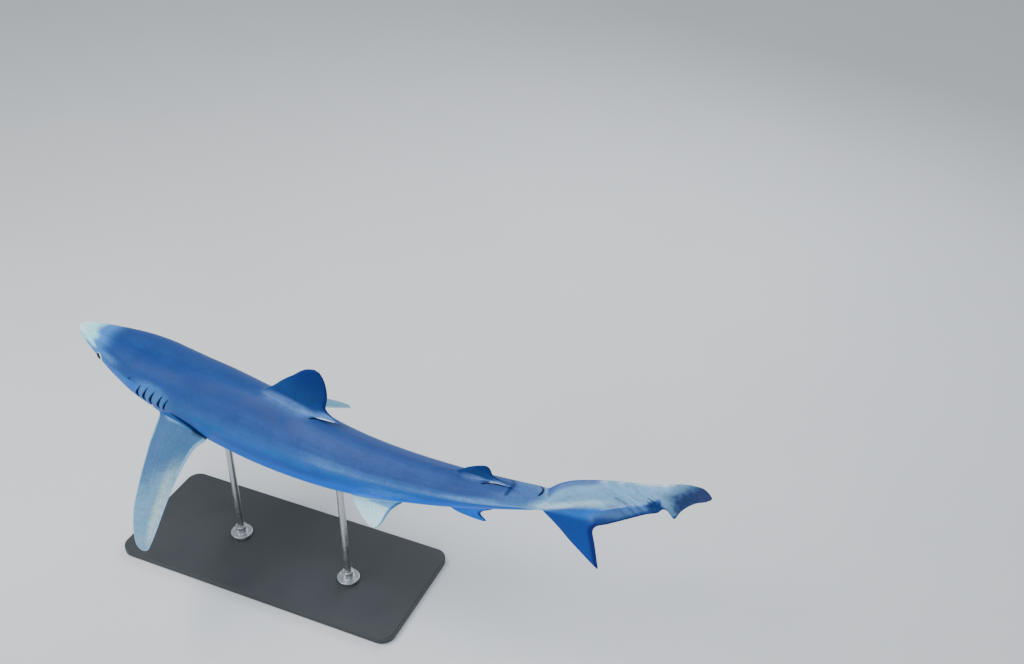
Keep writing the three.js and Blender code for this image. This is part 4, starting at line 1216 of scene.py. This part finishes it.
    # real scales are 0.4 mm; drawn 2.5 mm so that they show
    scales = add("TexVoronoi", {"Vector": place3d, "Scale": 400}, feature="F1")
    relief = add("Math", {0: scales, 1: 0.25, 2: mottle}, operation="MULTIPLY_ADD")
    bumped = add("Bump", {"Height": relief, "Strength": 0.15, "Distance": 0.0015})
    setInputs(shader, {"Base Color": colour, "Roughness": gloss, "IOR": 1.4, "Specular IOR Level": 0.22,
                       "Normal": bumped})
    return material


def paintEye():  # glass eye: black pupil, near-black iris, a thin pale ring, a wet gloss
    material, shader, add = newMaterial("glass_eye")
    polar = add("Attribute", attribute_name="polar", out="Fac")
    stops = [[0.0, "#010205"], [0.3, "#02040a"], [0.36, "#0a111d"], [0.58, "#0e1828"], [0.66, "#41586f"],
             [0.74, "#aebfc9"], [0.85, "#8fa3b2"]]
    colour = fillRamp(add("ValToRGB", {0: polar}, out=None), stops)
    setInputs(shader, {"Base Color": colour, "Roughness": 0.06, "IOR": 1.45})
    return material


def paintBoard():  # MDF sprayed with a matt charcoal lacquer: a fine orange-peel and a few soft rubs
    material, shader, add = newMaterial("lacquered_board")
    place = add("TexCoord", out="Object")
    cloud = add("TexNoise", {"Vector": place, "Scale": 9, "Detail": 4}, out="Fac")
    peel = add("TexNoise", {"Vector": place, "Scale": 420, "Detail": 2}, out="Fac")
    colour = add("Mix", {0: cloud, 6: linear("#2b2e31"), 7: linear("#34383b")}, data_type="RGBA", out=2)
    rough = add("MapRange", {0: cloud, 1: 0.3, 2: 0.7, 3: 0.42, 4: 0.56})
    bumped = add("Bump", {"Height": peel, "Strength": 0.12, "Distance": 0.0006})
    setInputs(shader, {"Base Color": colour, "Roughness": rough, "Normal": bumped})
    return material


def paintSteel():  # turned stainless steel: fine tool lines run round the rods, collars and screws
    material, shader, add = newMaterial("turned_steel")
    # the attribute holds millimetres along the profile
    path = add("Attribute", attribute_name="lathe", out="Fac")
    place3d = add("TexCoord", out="Object")
    # real tool lines are 0.1 mm; drawn 0.7 mm so that they show
    lines = add("TexNoise", {"W": path, "Scale": 1.4, "Detail": 3}, noise_dimensions="1D", out="Fac")
    handled = add("TexNoise", {"Vector": place3d, "Scale": 35, "Detail": 3}, out="Fac")
    colour = add("Mix", {0: lines, 6: linear("#a4a8ab"), 7: linear("#cbced0")}, data_type="RGBA", out=2)
    rough = add("MapRange", {0: lines, 1: 0.3, 2: 0.7, 3: 0.2, 4: 0.32})
    smear = add("MapRange", {0: handled, 1: 0.35, 2: 0.7, 3: 0.0, 4: 0.12})
    rough = add("Math", {0: rough, 1: smear}, operation="ADD")
    bumped = add("Bump", {"Height": lines, "Strength": 0.1, "Distance": 0.0002})
    setInputs(shader, {"Base Color": colour, "Metallic": 1, "Roughness": rough, "Normal": bumped})
    return material


def paintFloor():  # studio paper
    material, shader, add = newMaterial("studio_floor")
    place = add("TexCoord", out="Object")
    cloud = add("TexNoise", {"Vector": place, "Scale": 1.5, "Detail": 3}, out="Fac")
    colour = add("Mix", {0: cloud, 6: linear("#d3d6d8"), 7: linear("#dadcde")}, data_type="RGBA", out=2)
    setInputs(shader, {"Base Color": colour, "Roughness": 0.8})
    return material


shark.data.materials.append(paintSkin())
glass = paintEye()
for ball in eyes.values():
    ball.data.materials.append(glass)
board, steel = paintBoard(), paintSteel()
for name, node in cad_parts.items():
    if name.startswith("stand_"):
        for slot in node.material_slots:
            slot.material = board if name == "stand_base" else steel
for piece in standPieces.values():
    piece.data.materials.append(steel)
print("materials done")


def screwTree():  # a ring of screws on top of each collar
    tree = bpy.data.node_groups.new("collarScrews", "GeometryNodeTree")
    sockets = {}
    for name, kind in (("Screw", "Geometry"), ("Count", "Int"), ("Circle Radius", "Float"),
                       ("Front Collar", "Vector"), ("Rear Collar", "Vector"), ("Steel", "Material")):
        socket = tree.interface.new_socket(name=name, in_out="INPUT", socket_type="NodeSocket" + kind)
        sockets[name] = socket.identifier
    tree.interface.new_socket(name="Screws", in_out="OUTPUT", socket_type="NodeSocketGeometry")
    add = nodeAdder(tree, "")
    given = add("NodeGroupInput", out=None).outputs
    circle = add("GeometryNodeMeshCircle", {"Vertices": given["Count"], "Radius": given["Circle Radius"]})
    turn = add("FunctionNodeRandomValue", {"Min": (0, 0, 0), "Max": (0, 0, stand["screwTwist"]), "Seed": 7},
               data_type="FLOAT_VECTOR")
    ring = add("GeometryNodeInstanceOnPoints",
               {"Points": circle, "Instance": given["Screw"], "Rotation": turn})
    both = add("GeometryNodeJoinGeometry", out=None)
    for collar in ("Front Collar", "Rear Collar"):
        setInputs(both, {0: add("GeometryNodeTransform", {"Geometry": ring, "Translation": given[collar]})})
    real = add("GeometryNodeRealizeInstances", {"Geometry": both.outputs[0]})
    steelScrews = add("GeometryNodeSetMaterial", {"Geometry": real, "Material": given["Steel"]})
    add("NodeGroupOutput", {0: steelScrews}, out=None)
    return tree, sockets


screws = screwHead()
tree, sockets = screwTree()
modifier = screws.modifiers.new("collarScrews", "NODES")
modifier.node_group = tree
for name, value in (("Count", stand["screwCount"]), ("Circle Radius", stand["screwCircle"] * mm),
                    ("Front Collar", collarTops[0]), ("Rear Collar", collarTops[1]), ("Steel", steel)):
    modifier[sockets[name]] = value
screwMesh = bpy.data.meshes.new_from_object(screws.evaluated_get(bpy.context.evaluated_depsgraph_get()))
screws.modifiers.clear()
screws.data = screwMesh
print("screws:", len(screwMesh.polygons), "faces")

fleshNodes = [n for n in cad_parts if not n.startswith(("stand_", "eye_"))]
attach(shark, "root")
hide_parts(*fleshNodes)
for side, ball in eyes.items():
    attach(ball, "root")
    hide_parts("eye_left" if side > 0 else "eye_right")
for node, piece in standPieces.items():
    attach(piece, "root")
    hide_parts(node)
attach(screws, "root")

# Floor, light and camera

floorMesh = bpy.data.meshes.new("floor")
floorMesh.from_pydata([(-12, -12, 0), (12, -12, 0), (12, 12, 0), (-12, 12, 0)], [], [(0, 1, 2, 3)])
floor = bpy.data.objects.new("floor", floorMesh)
bpy.context.scene.collection.objects.link(floor)
floorMesh.materials.append(paintFloor())

camera = bpy.data.objects.new("camera", bpy.data.cameras.new("camera"))
bpy.context.scene.collection.objects.link(camera)
azimuth, elevation = math.radians(24), math.radians(34.5)
look = Vector((-math.sin(azimuth) * math.cos(elevation), math.cos(azimuth) * math.cos(elevation),
               -math.sin(elevation)))
camera.location = (1.919, -2.478, 2.980)
camera.rotation_mode = "QUATERNION"
camera.rotation_quaternion = look.to_track_quat("-Z", "Y")
camera.data.lens = 45
camera.data.sensor_width = 36
camera.data.clip_start, camera.data.clip_end = 0.05, 60
bpy.context.scene.camera = camera


def areaLight(name, place, target, size, power, colour):
    lamp = bpy.data.lights.new(name, "AREA")
    lamp.shape = "RECTANGLE"
    lamp.size, lamp.size_y = size
    lamp.energy = power
    lamp.color = linear(colour)[:3]
    light = bpy.data.objects.new(name, lamp)
    light.location = place
    direction = Vector(target) - Vector(place)
    light.rotation_mode = "QUATERNION"
    light.rotation_quaternion = direction.to_track_quat("-Z", "Y")
    bpy.context.scene.collection.objects.link(light)


areaLight("key", (-1.6, -1.2, 4.2), (0, 0, 0.5), (3.2, 2.4), 190, "#ffffff")
areaLight("fill", (2.5, -3.6, 1.8), (0, 0, 0.5), (3, 3), 70, "#f2f7ff")
areaLight("rim", (0.8, 3.4, 2.6), (0, 0, 0.6), (3, 1.6), 70, "#f5f9ff")
world = bpy.data.worlds.new("studio")
world.use_nodes = True
world.node_tree.nodes["Background"].inputs[0].default_value = linear("#e4ebf2")
world.node_tree.nodes["Background"].inputs[1].default_value = 0.7
bpy.context.scene.world = world
